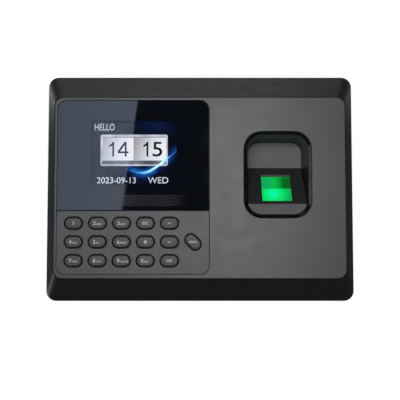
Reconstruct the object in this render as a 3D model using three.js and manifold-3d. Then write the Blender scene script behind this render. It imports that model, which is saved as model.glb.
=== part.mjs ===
// Wall-mounted fingerprint terminal: bezel case, display, keypad, sunk fingerprint reader,
// connector bay and wall bracket.
//
// Millimetres, +Z up. X runs to the right and the front looks along -Y. The origin lies on the
// wall, behind the middle of the rim. Depths are given as "out", the distance out from the wall,
// so a point at out = 36 has Y = -36. Outlines are drawn in the X-Z plane.

import * as THREE from 'three';
import { mergeVertices } from 'three/addons/utils/BufferGeometryUtils.js';
import Module from 'manifold-3d';

const wasm = await Module();
wasm.setup();

// ---------------------------------------------------------------- driving dimensions

// Outer case
const BODY_WIDTH = 185;
const BODY_HEIGHT = 136;
const BODY_DEPTH = 36;
const BODY_CORNER = 6;
const BEVEL_SIDE = 8; // how far the bezel slopes in on the left and right
const BEVEL_TOP = 16.4;
const BEVEL_BOTTOM = 14.3;
const BEVEL_DEPTH = 20; // from the rim to the face
const RIM_THICKNESS = 2; // upright band of the rim
const EDGE_ROUND = 0.6;
const CREST_WIDTH = 0.6; // black line left round the face plate
const CASE_WALL = 2.4;
const FACE_CORNER = 5;

// Face plate
const FACE_THICKNESS = 2;
const LEDGE_WIDTH = 3;
const LEDGE_THICKNESS = 2;

// Sub-panel of lens and keypad, measured from the left, top and bottom of the face
const PANEL_MARGIN = 1.7;
const PANEL_MARGIN_TOP = 1.9;
const PANEL_MARGIN_BOTTOM = 2.5;
const PANEL_CORNER = 5;
const PLATE_CORNER = 0.4; // where the lens and the keypad plate meet
const PANEL_GAP = 0.4; // all round the sub-panel and between its two plates
const PLATE_THICKNESS = 1.8;
const FRAME_LAP = 3; // how far the panel frame reaches behind the face plate

// Keys
const KEY_COLUMNS = 5;
const KEY_ROWS = 3;
const KEY_WIDTH = 9.6;
const KEY_HEIGHT = 6.1;
const KEY_SPACING_X = 4.25; // from one cap to the next
const KEY_SPACING_Z = 4.7;
const KEY_MARGIN_LEFT = 5; // from the caps to the edges of the keypad plate
const KEY_MARGIN_TOP = 4.05;
const KEY_MARGIN_BOTTOM = 4.65;
const MENU_KEY_SPACING = 4; // slanted key, beside the last column
const MENU_KEY_MARGIN = 4.5;
const MENU_KEY_ANGLE = -45; // degrees
const PILL_ROUND = 0.498; // end radius of a key over its height
const KEY_CLEARANCE = 0.8;
const KEY_PROUD = 0.8;
const KEY_FLANGE = 1.4; // how far the flange stands out from the cap
const KEY_FLANGE_THICKNESS = 0.9;
const KEY_TRAVEL = 0.9;
const MAT_THICKNESS = 0.8;
const DOME_HEIGHT = 1;
const DOME_INSET = 1;
const MAT_BORDER = 2; // from the top and right of the keypad plate to the mat
const MAT_CORNER = 2;
const FRAME_RIM = 1.2;

// Display
const DISPLAY_WIDTH = 60.3;
const DISPLAY_HEIGHT = 42.7;
const DISPLAY_SHIFT = 2.1; // the cell is this much longer on the side of its connector
const DISPLAY_FROM_TOP = 30.3; // picture centre, below the top of the sub-panel
const CELL_THICKNESS = 1.8;
const BACKLIGHT_THICKNESS = 2.4;
const CLAMP_THICKNESS = 1;
const CLAMP_BORDER = 8; // from the edge of the cell to the opening in the clamp

// Fingerprint reader
const WELL_WIDTH = 39.5;
const WELL_HEIGHT = 50.5;
const WELL_CORNER = 10.4;
const WELL_CHAMFER = 2;
const WELL_LAND = 0.2; // flat edge left round the well, in the plane of the face
const WELL_DEPTH = 18.5;
const WELL_DRAFT_X = 1.4;
const WELL_DRAFT_Z = 1.9;
const WELL_NUDGE_X = 0.3; // right of the middle of the free part of the face
const WELL_NUDGE_Z = 7.4; // above the middle of the face
const HOUSING_FLANGE = 3;
const HOUSING_FLANGE_THICKNESS = 2;
const HOUSING_FLOOR = 1.8;
const FLOOR_PLATE = 1.5;
const INCLINE_FOOT = 5.3; // foot of the slope, above the middle of the well
const INCLINE_CREST = -16.5; // crest of the slope, from the middle of the well
const CREST_DEPTH = 3;
const INCLINE_WALL = 2.2;
const BLOCK_WALL = 2;
const LIP_THICKNESS = 2;
const WINDOW_WIDTH = 17.4;
const WINDOW_LENGTH = 20;
const WINDOW_FROM_CREST = 1.8;
const PRISM_DEPTH = 5;
const PRISM_TAPER = 3.5;
const OPTICS_HALF_WIDTH = 13;
const SENSOR_BOARD_WIDTH = 29.5;
const SENSOR_BOARD_HEIGHT = 26;
const SENSOR_BOARD_THICKNESS = 1.5;
const LAMP_BOARD_THICKNESS = 1.2;
const WINDOW_SUNK = 0.15; // the window lies this far below the slope
const LENS_RADIUS = 4.5;
const LENS_BORE = 2.6;
const LENS_CLEARANCE = 1.4; // from the lens to the window's prism
const LENS_Z = -9.5; // from the middle of the well

// Rear case
const REAR_BACK = 0.6; // the case stands this far off the wall
const REAR_TAPER = 5; // how far it draws in at the back
const REAR_WALL = 2.2;
const RECESS_DEPTH = 4.8;
const RECESS_FLOOR = 2;

// Wall bracket
const BRACKET_WIDTH = 110;
const BRACKET_TOP = 50;
const BRACKET_BOTTOM = -14;
const BRACKET_THICKNESS = 1.5;
const BRACKET_CORNER = 4;
const SCREW_HOLE_RADIUS = 2.25;
const SCREW_HOLE_INSET = 9;
const HOOK_X = 36;
const HOOK_TOP = 34; // upper side of the leg that the case hangs on
const HOOK_WIDTH = 8;
const HOOK_LIP = 4.5;
const TONGUE_WIDTH = 16;
const TAB_REACH = 11;
const TAB_FROM_RIM = 9; // tab above the lower edge of the rim
const LOCK_SCREW_OUT = 7;
const LOCK_RADIUS = 1.5;
const LOCK_HEAD_RADIUS = 3;
const LOCK_HEAD_HEIGHT = 2;
const LOCK_BOSS_RADIUS = 5.4;
const LOCK_BITE = 3; // how far the screw reaches past the tab

// Connector bay and sockets, to the left of the bracket's tongue
const BAY_WIDTH = 53;
const BAY_FROM_TONGUE = 6;
const BAY_TOP = 28; // above the lower edge of the rim
const BAY_BOTTOM = 8;
const BAY_DEPTH = 18;
const BAY_WALL = 2;
const CABLE_SLOT_DEPTH = 10;
const SOCKET_GAP = 3.5;
const NETWORK_WIDTH = 16;
const NETWORK_HEIGHT = 13.4;
const NETWORK_LENGTH = 21;
const NETWORK_WALL = 1.6;
const NETWORK_DEPTH = 12;
const LATCH_WIDTH = 6; // slot for the plug's latch, along the wall side of the socket
const LATCH_DEPTH = 2;
const USB_WIDTH = 14.5;
const USB_HEIGHT = 7;
const USB_LENGTH = 14;
const USB_WALL = 0.7;
const USB_DEPTH = 10;
const USB_TONGUE_INSET = 1.6; // from the sides of the socket to its contact tongue
const USB_TONGUE_THICKNESS = 1.8;
const JACK_WIDTH = 9;
const JACK_HEIGHT = 11;
const JACK_LENGTH = 13.5;
const JACK_DEPTH = 9.5;
const JACK_BORE = 3.1;
const JACK_PIN = 1;

// Circuit board and what is on it
const BOARD_THICKNESS = 1.6;
const BOARD_OUT = 17;
const BOARD_FROM_SIDE = 12.5;
const BOARD_FROM_READER = 5.5;
const BOARD_TOP = 46;
const POST_RADIUS = 3;
const POST_INSET = 6;
const PROCESSOR_SIZE = 14;
const PROCESSOR_HEIGHT = 1.4;
const PROCESSOR_SHIFT = 14; // right of the middle of the board
const CELL_SHIFT = -26;
const CELL_RADIUS = 10;
const CELL_HEIGHT = 3.2;
const HOLDER_WALL = 2;
const SPEAKER_RADIUS = 14;
const SPEAKER_HEIGHT = 5.6;
const SPEAKER_FROM_SIDE = 37;
const SPEAKER_FROM_RIM = 24;
const GASKET_WIDTH = 3;
const GASKET_HEIGHT = 1;
const GRILLE_SLOTS = 5;
const GRILLE_PITCH = 4;
const GRILLE_SLOT = 1.6;
const GRILLE_LENGTH = 18;
const RIBBON_THICKNESS = 0.3;
const RIBBON_WIDTH = 12;
const RIBBON_BEND = 2;
const RIBBON_REACH = 9; // how far a folded ribbon runs before it turns
const RIBBON_START = 8; // from the edge of the part it leaves
const LEAD_RADIUS = 0.7;

// Case screws
const SCREW_FROM_SIDE = 9;
const SCREW_FROM_TOP = 11;
const BOSS_RADIUS = 3.5;
const BOSS_HEIGHT = 8; // in the front case, from the seam
const WEB_THICKNESS = 2; // web from each boss to the side of the case
const SCREW_RADIUS = 1.2;
const SCREW_HEAD_RADIUS = 2.6;
const SCREW_HEAD_HEIGHT = 1.8;
const SCREW_SEAT = 6;
const SCREW_BITE = 6; // how far the screw reaches past the seam

const GAP = 0.3; // between pieces that touch
const OVERCUT = 0.5; // how far a cutting solid runs past the surface it cuts
const CORNER_STEPS = 4;
const ROUND_STEPS = 16;

// ---------------------------------------------------------------- derived places

const rimOut = BODY_DEPTH - BEVEL_DEPTH;
const seamOut = rimOut - RIM_THICKNESS;
const screwTip = seamOut + SCREW_BITE;
const halfWidth = BODY_WIDTH / 2;
const halfHeight = BODY_HEIGHT / 2;
const rimBox = { left: -halfWidth, right: halfWidth, bottom: -halfHeight, top: halfHeight };
const faceBox = {
  left: rimBox.left + BEVEL_SIDE,
  right: rimBox.right - BEVEL_SIDE,
  bottom: rimBox.bottom + BEVEL_BOTTOM,
  top: rimBox.top - BEVEL_TOP,
};
const faceMiddleZ = (faceBox.top + faceBox.bottom) / 2;
const ledgeOut = BODY_DEPTH - FACE_THICKNESS - GAP;

const keyPitchX = KEY_WIDTH + KEY_SPACING_X;
const keyPitchZ = KEY_HEIGHT + KEY_SPACING_Z;
const firstKeyX = KEY_MARGIN_LEFT + KEY_WIDTH / 2; // from the left of the keypad plate
const firstKeyZ = KEY_MARGIN_TOP + KEY_HEIGHT / 2; // below its top
const menuKeyX = firstKeyX + (KEY_COLUMNS - 1) * keyPitchX + KEY_WIDTH + MENU_KEY_SPACING;
const panelWidth = menuKeyX + KEY_WIDTH / 2 + MENU_KEY_MARGIN;
const keypadHeight = firstKeyZ + (KEY_ROWS - 1) * keyPitchZ + KEY_HEIGHT / 2 + KEY_MARGIN_BOTTOM;

const panelBox = {
  left: faceBox.left + PANEL_MARGIN,
  right: faceBox.left + PANEL_MARGIN + panelWidth,
  bottom: faceBox.bottom + PANEL_MARGIN_BOTTOM,
  top: faceBox.top - PANEL_MARGIN_TOP,
};
const keypadTop = panelBox.bottom + keypadHeight;
const keypadBox = { ...panelBox, top: keypadTop };
const lensBox = { ...panelBox, bottom: keypadTop + PANEL_GAP };
const plateBack = BODY_DEPTH - PLATE_THICKNESS;
const frameFront = ledgeOut;
const frameBack = ledgeOut - LEDGE_THICKNESS;

const displayX = (panelBox.left + panelBox.right) / 2;
const displayZ = panelBox.top - DISPLAY_FROM_TOP;
const displayBox = around(displayX + DISPLAY_SHIFT, displayZ, DISPLAY_WIDTH, DISPLAY_HEIGHT);

const flangeFront = plateBack - GAP;
const flangeBack = flangeFront - KEY_FLANGE_THICKNESS;
const domeTop = flangeBack - KEY_TRAVEL - GAP;
const matFront = domeTop - DOME_HEIGHT;
const matBack = matFront - MAT_THICKNESS;
const ledgeBox = grow(faceBox, -LEDGE_WIDTH);
const matBox = {
  left: ledgeBox.left + FRAME_RIM + 2 * GAP,
  right: keypadBox.right - MAT_BORDER,
  bottom: ledgeBox.bottom + FRAME_RIM + 2 * GAP,
  top: keypadBox.top - MAT_BORDER,
};
const keypadBoardFront = matBack - GAP;
const keypadBoardBack = keypadBoardFront - BOARD_THICKNESS;

const wellX = (panelBox.right + faceBox.right) / 2 + WELL_NUDGE_X;
const wellZ = faceMiddleZ + WELL_NUDGE_Z;
const wellFloorOut = BODY_DEPTH - WELL_DEPTH;
const housingFloorOut = wellFloorOut - FLOOR_PLATE - GAP;
const housingBack = housingFloorOut - HOUSING_FLOOR;
const foot = { z: wellZ + INCLINE_FOOT, out: wellFloorOut };
const crest = { z: wellZ + INCLINE_CREST, out: BODY_DEPTH - CREST_DEPTH };
const inclineLength = Math.hypot(foot.z - crest.z, crest.out - foot.out);
const inclineRun = (foot.z - crest.z) / inclineLength;
const inclineFall = (crest.out - foot.out) / inclineLength;
const lipUnderside = crest.out - LIP_THICKNESS;
const blockLowZ = wellZ - WELL_HEIGHT / 2 + WELL_CHAMFER;

const bayBox = {
  left: -TONGUE_WIDTH / 2 - BAY_FROM_TONGUE - BAY_WIDTH,
  right: -TONGUE_WIDTH / 2 - BAY_FROM_TONGUE,
  bottom: rimBox.bottom + BAY_BOTTOM,
  top: rimBox.bottom + BAY_TOP,
};
const boardBox = {
  left: rimBox.left + BOARD_FROM_SIDE,
  right: wellX - WELL_WIDTH / 2 - BOARD_FROM_READER,
  bottom: bayBox.top + BAY_WALL + GAP,
  top: BOARD_TOP,
};
const boardFront = BOARD_OUT + BOARD_THICKNESS;
const socketsOut = BOARD_OUT - GAP;
const socketMouthZ = bayBox.top + GAP;

const tabZ = rimBox.bottom + TAB_FROM_RIM;
const bracketBox = {
  left: -BRACKET_WIDTH / 2,
  right: BRACKET_WIDTH / 2,
  bottom: BRACKET_BOTTOM,
  top: BRACKET_TOP,
};
const tongueBox = { left: -TONGUE_WIDTH / 2, right: TONGUE_WIDTH / 2, bottom: tabZ, top: 0 };
const speakerX = rimBox.right - SPEAKER_FROM_SIDE;
const speakerZ = rimBox.bottom + SPEAKER_FROM_RIM;

// ---------------------------------------------------------------- looks

const look = (color, roughness, metalness = 0) =>
  new THREE.MeshStandardMaterial({ color, roughness, metalness });

const LOOKS = {
  blackPlastic: look(0x1b1b1c, 0.45),
  greyPlastic: look(0x5c5c5d, 0.6),
  keyCap: look(0x58585a, 0.6),
  lensGlass: look(0x0b0d13, 0.08),
  steel: look(0xa8abb0, 0.4, 0.9),
  silicone: look(0x3a3c40, 0.8),
  board: look(0x14512c, 0.5),
  screen: look(0x10182c, 0.2),
  diffuser: look(0xe8ecf0, 0.5),
  window: look(0x19c26a, 0.1),
  ribbon: look(0xb8742c, 0.5),
  chip: look(0x202124, 0.5),
  lead: look(0x9a1f1f, 0.5),
  foam: look(0x2a2a2a, 0.95),
};

// ---------------------------------------------------------------- shape helpers

function around(x, z, width, height) {
  return { left: x - width / 2, right: x + width / 2, bottom: z - height / 2, top: z + height / 2 };
}

function grow(box, by) {
  return { left: box.left - by, right: box.right + by, bottom: box.bottom - by, top: box.top + by };
}

// Turns drawings made in X-Z with depth along local Z into the model's frame.
const OUTWARD = new THREE.Matrix4().makeRotationX(Math.PI / 2);
// Turns a profile drawn as (z, out) with its length along local Z into the model's frame.
const SIDEWAYS = new THREE.Matrix4().makeBasis(
  new THREE.Vector3(0, 0, 1),
  new THREE.Vector3(0, -1, 0),
  new THREE.Vector3(1, 0, 0),
);

function toSolid(geometry) {
  geometry.deleteAttribute('normal');
  geometry.deleteAttribute('uv');
  const merged = mergeVertices(geometry);
  return new wasm.Manifold(
    new wasm.Mesh({
      numProp: 3,
      vertProperties: new Float32Array(merged.attributes.position.array),
      triVerts: new Uint32Array(merged.index.array),
    }),
  );
}

function toGeometry(solid) {
  const mesh = solid.getMesh();
  const geometry = new THREE.BufferGeometry();
  geometry.setAttribute('position', new THREE.BufferAttribute(mesh.vertProperties, 3));
  geometry.setIndex(new THREE.BufferAttribute(mesh.triVerts, 1));
  geometry.computeVertexNormals();
  return geometry;
}

// Outline of a box with its own radius at the top and bottom corners.
function outline(box, topRadius, bottomRadius = topRadius) {
  const corners = [
    [box.right - bottomRadius, box.bottom + bottomRadius, bottomRadius, -Math.PI / 2],
    [box.right - topRadius, box.top - topRadius, topRadius, 0],
    [box.left + topRadius, box.top - topRadius, topRadius, Math.PI / 2],
    [box.left + bottomRadius, box.bottom + bottomRadius, bottomRadius, Math.PI],
  ];
  const points = [];
  for (const [x, z, radius, start] of corners) {
    const steps = radius > 0 ? CORNER_STEPS : 0;
    for (let i = 0; i <= steps; i += 1) {
      const angle = start + (i / Math.max(steps, 1)) * (Math.PI / 2);
      points.push(new THREE.Vector2(x + radius * Math.cos(angle), z + radius * Math.sin(angle)));
    }
  }
  return points;
}

// A solid through outlines of equal point count, given from the wall outwards.
function loft(levels) {
  const count = levels[0].points.length;
  const positions = [];
  for (const { points, out } of levels) {
    for (const point of points) {
      positions.push(point.x, point.y, out);
    }
  }
  const faces = [];
  for (let level = 0; level < levels.length - 1; level += 1) {
    for (let i = 0; i < count; i += 1) {
      const next = (i + 1) % count;
      const a = level * count + i;
      const b = level * count + next;
      faces.push(a, b, b + count, a, b + count, a + count);
    }
  }
  const last = (levels.length - 1) * count;
  for (const [a, b, c] of THREE.ShapeUtils.triangulateShape(levels[0].points, [])) {
    faces.push(c, b, a);
  }
  for (const [a, b, c] of THREE.ShapeUtils.triangulateShape(levels.at(-1).points, [])) {
    faces.push(last + a, last + b, last + c);
  }
  const geometry = new THREE.BufferGeometry();
  geometry.setAttribute('position', new THREE.Float32BufferAttribute(positions, 3));
  geometry.setIndex(faces);
  geometry.applyMatrix4(OUTWARD);
  return toSolid(geometry);
}

// A flat plate of the given outline.
function slab(points, back, front) {
  return loft([{ points, out: back }, { points, out: front }]);
}

function block(box, back, front) {
  return slab(outline(box, 0), back, front);
}

// A prism along X whose section is given as [z, out] points, anticlockwise in that order.
function profile(section, left, right) {
  const shape = new THREE.Shape(section.map(([z, out]) => new THREE.Vector2(z, out)));
  const geometry = new THREE.ExtrudeGeometry(shape, { depth: right - left, bevelEnabled: false });
  geometry.translate(0, 0, left);
  geometry.applyMatrix4(SIDEWAYS);
  return toSolid(geometry);
}

function cylinderOut(x, z, radius, back, front) {
  const geometry = new THREE.CylinderGeometry(radius, radius, front - back, ROUND_STEPS);
  geometry.translate(x, -(back + front) / 2, z);
  return toSolid(geometry);
}

function cylinderUp(x, out, radius, low, high) {
  const geometry = new THREE.CylinderGeometry(radius, radius, high - low, ROUND_STEPS);
  geometry.rotateX(Math.PI / 2);
  geometry.translate(x, -out, (low + high) / 2);
  return toSolid(geometry);
}

// A pan-head screw along local +Y, head down, with its seat at the origin.
function screw(shankRadius, length, headRadius, headHeight) {
  const section = [
    [0, -headHeight],
    [headRadius * 0.7, -headHeight],
    [headRadius, -headHeight * 0.6],
    [headRadius, 0],
    [shankRadius, 0],
    [shankRadius, length - shankRadius],
    [0, length],
  ];
  return new THREE.LatheGeometry(
    section.map(([x, y]) => new THREE.Vector2(x, y)),
    ROUND_STEPS,
  );
}

const terminal = new THREE.Group();

function add(name, shape, material, parent = terminal) {
  const geometry = shape.isBufferGeometry ? shape : toGeometry(shape);
  const mesh = new THREE.Mesh(geometry, material);
  mesh.name = name;
  parent.add(mesh);
  return mesh;
}

// ---------------------------------------------------------------- case shells

// Outline of the bezel at a distance from the wall, drawn in by inset.
function bezelOutline(out, inset) {
  const slope = THREE.MathUtils.clamp((out - rimOut) / BEVEL_DEPTH, 0, 1);
  const box = {
    left: THREE.MathUtils.lerp(rimBox.left, faceBox.left, slope) + inset,
    right: THREE.MathUtils.lerp(rimBox.right, faceBox.right, slope) - inset,
    bottom: THREE.MathUtils.lerp(rimBox.bottom, faceBox.bottom, slope) + inset,
    top: THREE.MathUtils.lerp(rimBox.top, faceBox.top, slope) - inset,
  };
  const radius = THREE.MathUtils.lerp(BODY_CORNER, FACE_CORNER, slope) - inset * 0.5;
  return outline(box, radius);
}

function bezelLevel(out, inset) {
  return { points: bezelOutline(out, inset), out };
}

const bossPlaces = [];
for (const sideX of [-1, 1]) {
  for (const sideZ of [-1, 1]) {
    bossPlaces.push({
      x: sideX * (halfWidth - SCREW_FROM_SIDE),
      z: sideZ * (halfHeight - SCREW_FROM_TOP),
      sideX,
    });
  }
}

function frontCase() {
  const crest = (width) => outline(grow(faceBox, width), FACE_CORNER + width);
  const shell = loft([
    bezelLevel(seamOut, EDGE_ROUND),
    bezelLevel(seamOut + EDGE_ROUND, 0),
    bezelLevel(rimOut - EDGE_ROUND / 2, 0),
    bezelLevel(rimOut + EDGE_ROUND, EDGE_ROUND / 2),
    { points: crest(CREST_WIDTH), out: BODY_DEPTH - CREST_WIDTH / 2 },
    { points: crest(CREST_WIDTH / 2), out: BODY_DEPTH },
  ]);
  const hollow = loft([
    bezelLevel(seamOut - OVERCUT, CASE_WALL),
    bezelLevel(rimOut, CASE_WALL),
    bezelLevel(frameBack, CASE_WALL),
  ]);
  const ledgeEdge = outline(ledgeBox, FACE_CORNER - LEDGE_WIDTH / 2);
  const ledgeHole = slab(ledgeEdge, frameBack - OVERCUT, ledgeOut + OVERCUT);
  const facePocket = slab(outline(faceBox, FACE_CORNER), ledgeOut, BODY_DEPTH + OVERCUT);
  let solid = shell.subtract(hollow).subtract(ledgeHole).subtract(facePocket);
  for (const { x, z, sideX } of bossPlaces) {
    const wallX = x + sideX * (SCREW_FROM_SIDE - CASE_WALL / 2);
    const web = around((x + wallX) / 2, z, Math.abs(wallX - x), WEB_THICKNESS);
    solid = solid.add(cylinderOut(x, z, BOSS_RADIUS, seamOut + GAP, seamOut + BOSS_HEIGHT));
    solid = solid.add(block(web, seamOut + GAP, rimOut + 1));
    solid = solid.subtract(cylinderOut(x, z, SCREW_RADIUS + GAP, seamOut - OVERCUT, screwTip + 1));
  }
  return solid;
}

function recessShape(by, back, front) {
  const plate = slab(outline(grow(bracketBox, by), BRACKET_CORNER + by), back, front);
  return plate.add(block(grow(tongueBox, by), back, front));
}

function rearCase() {
  const seam = seamOut - GAP;
  const backRadius = BODY_CORNER - 1;
  const level = (out, inset, radius) => ({ points: outline(grow(rimBox, -inset), radius), out });
  const shell = loft([
    level(REAR_BACK, REAR_TAPER, backRadius),
    level(REAR_BACK + 1, REAR_TAPER - 1, backRadius),
    level(seam, EDGE_ROUND, BODY_CORNER),
  ]);
  const hollow = loft([
    level(REAR_BACK + REAR_WALL, REAR_TAPER + REAR_WALL, backRadius - 2),
    level(seam + OVERCUT, EDGE_ROUND + REAR_WALL, BODY_CORNER - 2),
  ]);
  const recessFloorFront = RECESS_DEPTH + RECESS_FLOOR;
  const recessWalls = recessShape(GAP + REAR_WALL, REAR_BACK, recessFloorFront);
  const bayOuter = grow(bayBox, BAY_WALL);
  const bayWalls = block(bayOuter, REAR_BACK + 1, BAY_DEPTH + BAY_WALL);
  const slotWalls = block(
    { ...bayOuter, bottom: rimBox.bottom + REAR_TAPER },
    REAR_BACK + 1,
    CABLE_SLOT_DEPTH + BAY_WALL,
  );
  let solid = shell.subtract(hollow).add(recessWalls.intersect(shell)).add(bayWalls);
  solid = solid.add(slotWalls.intersect(shell));
  for (const { x, z } of bossPlaces) {
    solid = solid.add(cylinderOut(x, z, BOSS_RADIUS, REAR_BACK + 1, seam));
  }
  for (const { x, z, footOut } of boardPosts) {
    solid = solid.add(cylinderOut(x, z, POST_RADIUS, footOut, BOARD_OUT - GAP));
  }
  const lockBoss = cylinderUp(0, LOCK_SCREW_OUT, LOCK_BOSS_RADIUS, rimBox.bottom, lockBossHigh);
  solid = solid.add(lockBoss.intersect(shell));
  solid = solid.subtract(recessShape(GAP, REAR_BACK - OVERCUT, RECESS_DEPTH));
  solid = solid.subtract(block(bayBox, REAR_BACK - OVERCUT, BAY_DEPTH));
  solid = solid.subtract(
    block({ ...bayBox, bottom: rimBox.bottom - OVERCUT }, REAR_BACK - OVERCUT, CABLE_SLOT_DEPTH),
  );
  for (const { x, z } of bossPlaces) {
    solid = solid.subtract(cylinderOut(x, z, SCREW_HEAD_RADIUS + GAP, 0, SCREW_SEAT));
    solid = solid.subtract(cylinderOut(x, z, SCREW_RADIUS + GAP, 0, seam + OVERCUT));
  }
  for (const { x, z } of boardPosts) {
    solid = solid.subtract(cylinderOut(x, z, SCREW_RADIUS + GAP, postHoleOut, BOARD_OUT));
  }
  for (const { left, width, height } of sockets) {
    const hole = {
      left: left - GAP,
      right: left + width + GAP,
      bottom: bayBox.top - OVERCUT,
      top: bayOuter.top + OVERCUT,
    };
    solid = solid.subtract(block(hole, socketsOut - height - GAP, socketsOut + GAP));
  }
  for (const side of [-1, 1]) {
    const slot = {
      left: side * HOOK_X - HOOK_WIDTH / 2 - 1,
      right: side * HOOK_X + HOOK_WIDTH / 2 + 1,
      bottom: HOOK_TOP - BRACKET_THICKNESS - HOOK_LIP - 1,
      top: HOOK_TOP + GAP,
    };
    solid = solid.subtract(block(slot, RECESS_DEPTH - OVERCUT, recessFloorFront + OVERCUT));
  }
  const tabSlot = {
    left: tongueBox.left - GAP,
    right: tongueBox.right + GAP,
    bottom: tabZ - GAP,
    top: tabZ + BRACKET_THICKNESS + HOOK_LIP + 1,
  };
  solid = solid.subtract(block(tabSlot, RECESS_DEPTH - OVERCUT, TAB_REACH + GAP));
  solid = solid.subtract(
    cylinderUp(0, LOCK_SCREW_OUT, LOCK_HEAD_RADIUS + GAP, rimBox.bottom - OVERCUT, lockSeatZ),
  );
  solid = solid.subtract(
    cylinderUp(0, LOCK_SCREW_OUT, LOCK_RADIUS + GAP, lockSeatZ - OVERCUT, lockBossHigh + 1),
  );
  for (let i = 0; i < GRILLE_SLOTS; i += 1) {
    const z = speakerZ + (i - (GRILLE_SLOTS - 1) / 2) * GRILLE_PITCH;
    const slot = around(speakerX, z, GRILLE_LENGTH, GRILLE_SLOT);
    const cutter = slab(outline(slot, GRILLE_SLOT * 0.49), 0, REAR_BACK + REAR_WALL + OVERCUT);
    solid = solid.subtract(cutter);
  }
  return solid;
}

// Screw posts under the circuit board; the one over the bracket's recess stands on its floor.
const onBackWall = REAR_BACK + 1;
const onRecess = RECESS_DEPTH + 0.4;
const postHoleOut = BOARD_OUT - 7;
const boardPosts = [
  { x: boardBox.left + POST_INSET, z: boardBox.top - POST_INSET, footOut: onBackWall },
  { x: boardBox.left + POST_INSET, z: boardBox.bottom + POST_INSET, footOut: onBackWall },
  { x: boardBox.right - POST_INSET, z: boardBox.top - POST_INSET, footOut: onRecess },
  { x: boardBox.right - POST_INSET, z: boardBox.bottom + POST_INSET, footOut: onBackWall },
];

// Sockets along the top of the bay, from left to right.
const sockets = [
  { name: 'network_socket', width: NETWORK_WIDTH, height: NETWORK_HEIGHT, length: NETWORK_LENGTH },
  { name: 'usb_socket', width: USB_WIDTH, height: USB_HEIGHT, length: USB_LENGTH },
  { name: 'power_jack', width: JACK_WIDTH, height: JACK_HEIGHT, length: JACK_LENGTH },
];
let socketLeft = bayBox.left + SOCKET_GAP;
for (const socket of sockets) {
  socket.left = socketLeft;
  socketLeft += socket.width + SOCKET_GAP;
}

// Locking screw, driven up through the bottom of the case into the bracket's tab.
const lockBossHigh = tabZ - GAP;
const lockSeatZ = lockBossHigh - 2;

add('front_case', frontCase(), LOOKS.blackPlastic);
add('rear_case', rearCase(), LOOKS.blackPlastic);

// ---------------------------------------------------------------- wall bracket and screws

function wallBracket() {
  let solid = slab(outline(bracketBox, BRACKET_CORNER), 0, BRACKET_THICKNESS);
  solid = solid.add(block(tongueBox, 0, BRACKET_THICKNESS));
  const tab = { ...tongueBox, top: tabZ + BRACKET_THICKNESS };
  solid = solid.add(block(tab, 0, TAB_REACH));
  const lipBack = RECESS_DEPTH + RECESS_FLOOR + GAP;
  for (const side of [-1, 1]) {
    const leg = {
      left: side * HOOK_X - HOOK_WIDTH / 2,
      right: side * HOOK_X + HOOK_WIDTH / 2,
      bottom: HOOK_TOP - BRACKET_THICKNESS,
      top: HOOK_TOP,
    };
    solid = solid.add(block(leg, 0, lipBack + BRACKET_THICKNESS));
    solid = solid.add(block({ ...leg, top: HOOK_TOP + HOOK_LIP }, lipBack, lipBack + BRACKET_THICKNESS));
    for (const z of [bracketBox.bottom + SCREW_HOLE_INSET, bracketBox.top - SCREW_HOLE_INSET]) {
      const x = side * (BRACKET_WIDTH / 2 - SCREW_HOLE_INSET);
      solid = solid.subtract(
        cylinderOut(x, z, SCREW_HOLE_RADIUS, -OVERCUT, BRACKET_THICKNESS + OVERCUT),
      );
    }
  }
  return solid.subtract(
    cylinderUp(0, LOCK_SCREW_OUT, LOCK_RADIUS + GAP, tabZ - OVERCUT, tabZ + BRACKET_THICKNESS + OVERCUT),
  );
}

add('wall_bracket', wallBracket(), LOOKS.steel);

const lockScrew = add(
  'lock_screw',
  screw(LOCK_RADIUS, tabZ + BRACKET_THICKNESS + LOCK_BITE - lockSeatZ, LOCK_HEAD_RADIUS, LOCK_HEAD_HEIGHT),
  LOOKS.steel,
);
lockScrew.rotation.x = Math.PI / 2;
lockScrew.position.set(0, -LOCK_SCREW_OUT, lockSeatZ - GAP);

bossPlaces.forEach(({ x, z }, i) => {
  const geometry = screw(SCREW_RADIUS, screwTip - SCREW_SEAT, SCREW_HEAD_RADIUS, SCREW_HEAD_HEIGHT);
  const mesh = add(`case_screw_${i + 1}`, geometry, LOOKS.steel);
  mesh.rotation.x = Math.PI;
  mesh.position.set(x, -(SCREW_SEAT - GAP), z);
});

boardPosts.forEach(({ x, z }, i) => {
  const length = boardFront - postHoleOut - 1;
  const geometry = screw(SCREW_RADIUS, length, SCREW_HEAD_RADIUS, SCREW_HEAD_HEIGHT);
  const mesh = add(`board_screw_${i + 1}`, geometry, LOOKS.steel);
  mesh.position.set(x, -(boardFront + GAP), z);
});

// ---------------------------------------------------------------- face plate and panel frame

function facePlate() {
  const back = BODY_DEPTH - FACE_THICKNESS;
  const edge = outline(grow(faceBox, -GAP), FACE_CORNER - GAP);
  const panelEdge = outline(grow(panelBox, PANEL_GAP), PANEL_CORNER + PANEL_GAP);
  return slab(edge, back, BODY_DEPTH)
    .subtract(slab(panelEdge, back - OVERCUT, BODY_DEPTH + OVERCUT))
    .subtract(slab(wellOutline(GAP), back - OVERCUT, BODY_DEPTH + OVERCUT));
}

// Edge of the well at the face, grown by the given amount.
function wellOutline(by) {
  return outline(grow(around(wellX, wellZ, WELL_WIDTH, WELL_HEIGHT), by), WELL_CORNER + by);
}

add('face_plate', facePlate(), LOOKS.greyPlastic);

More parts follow.
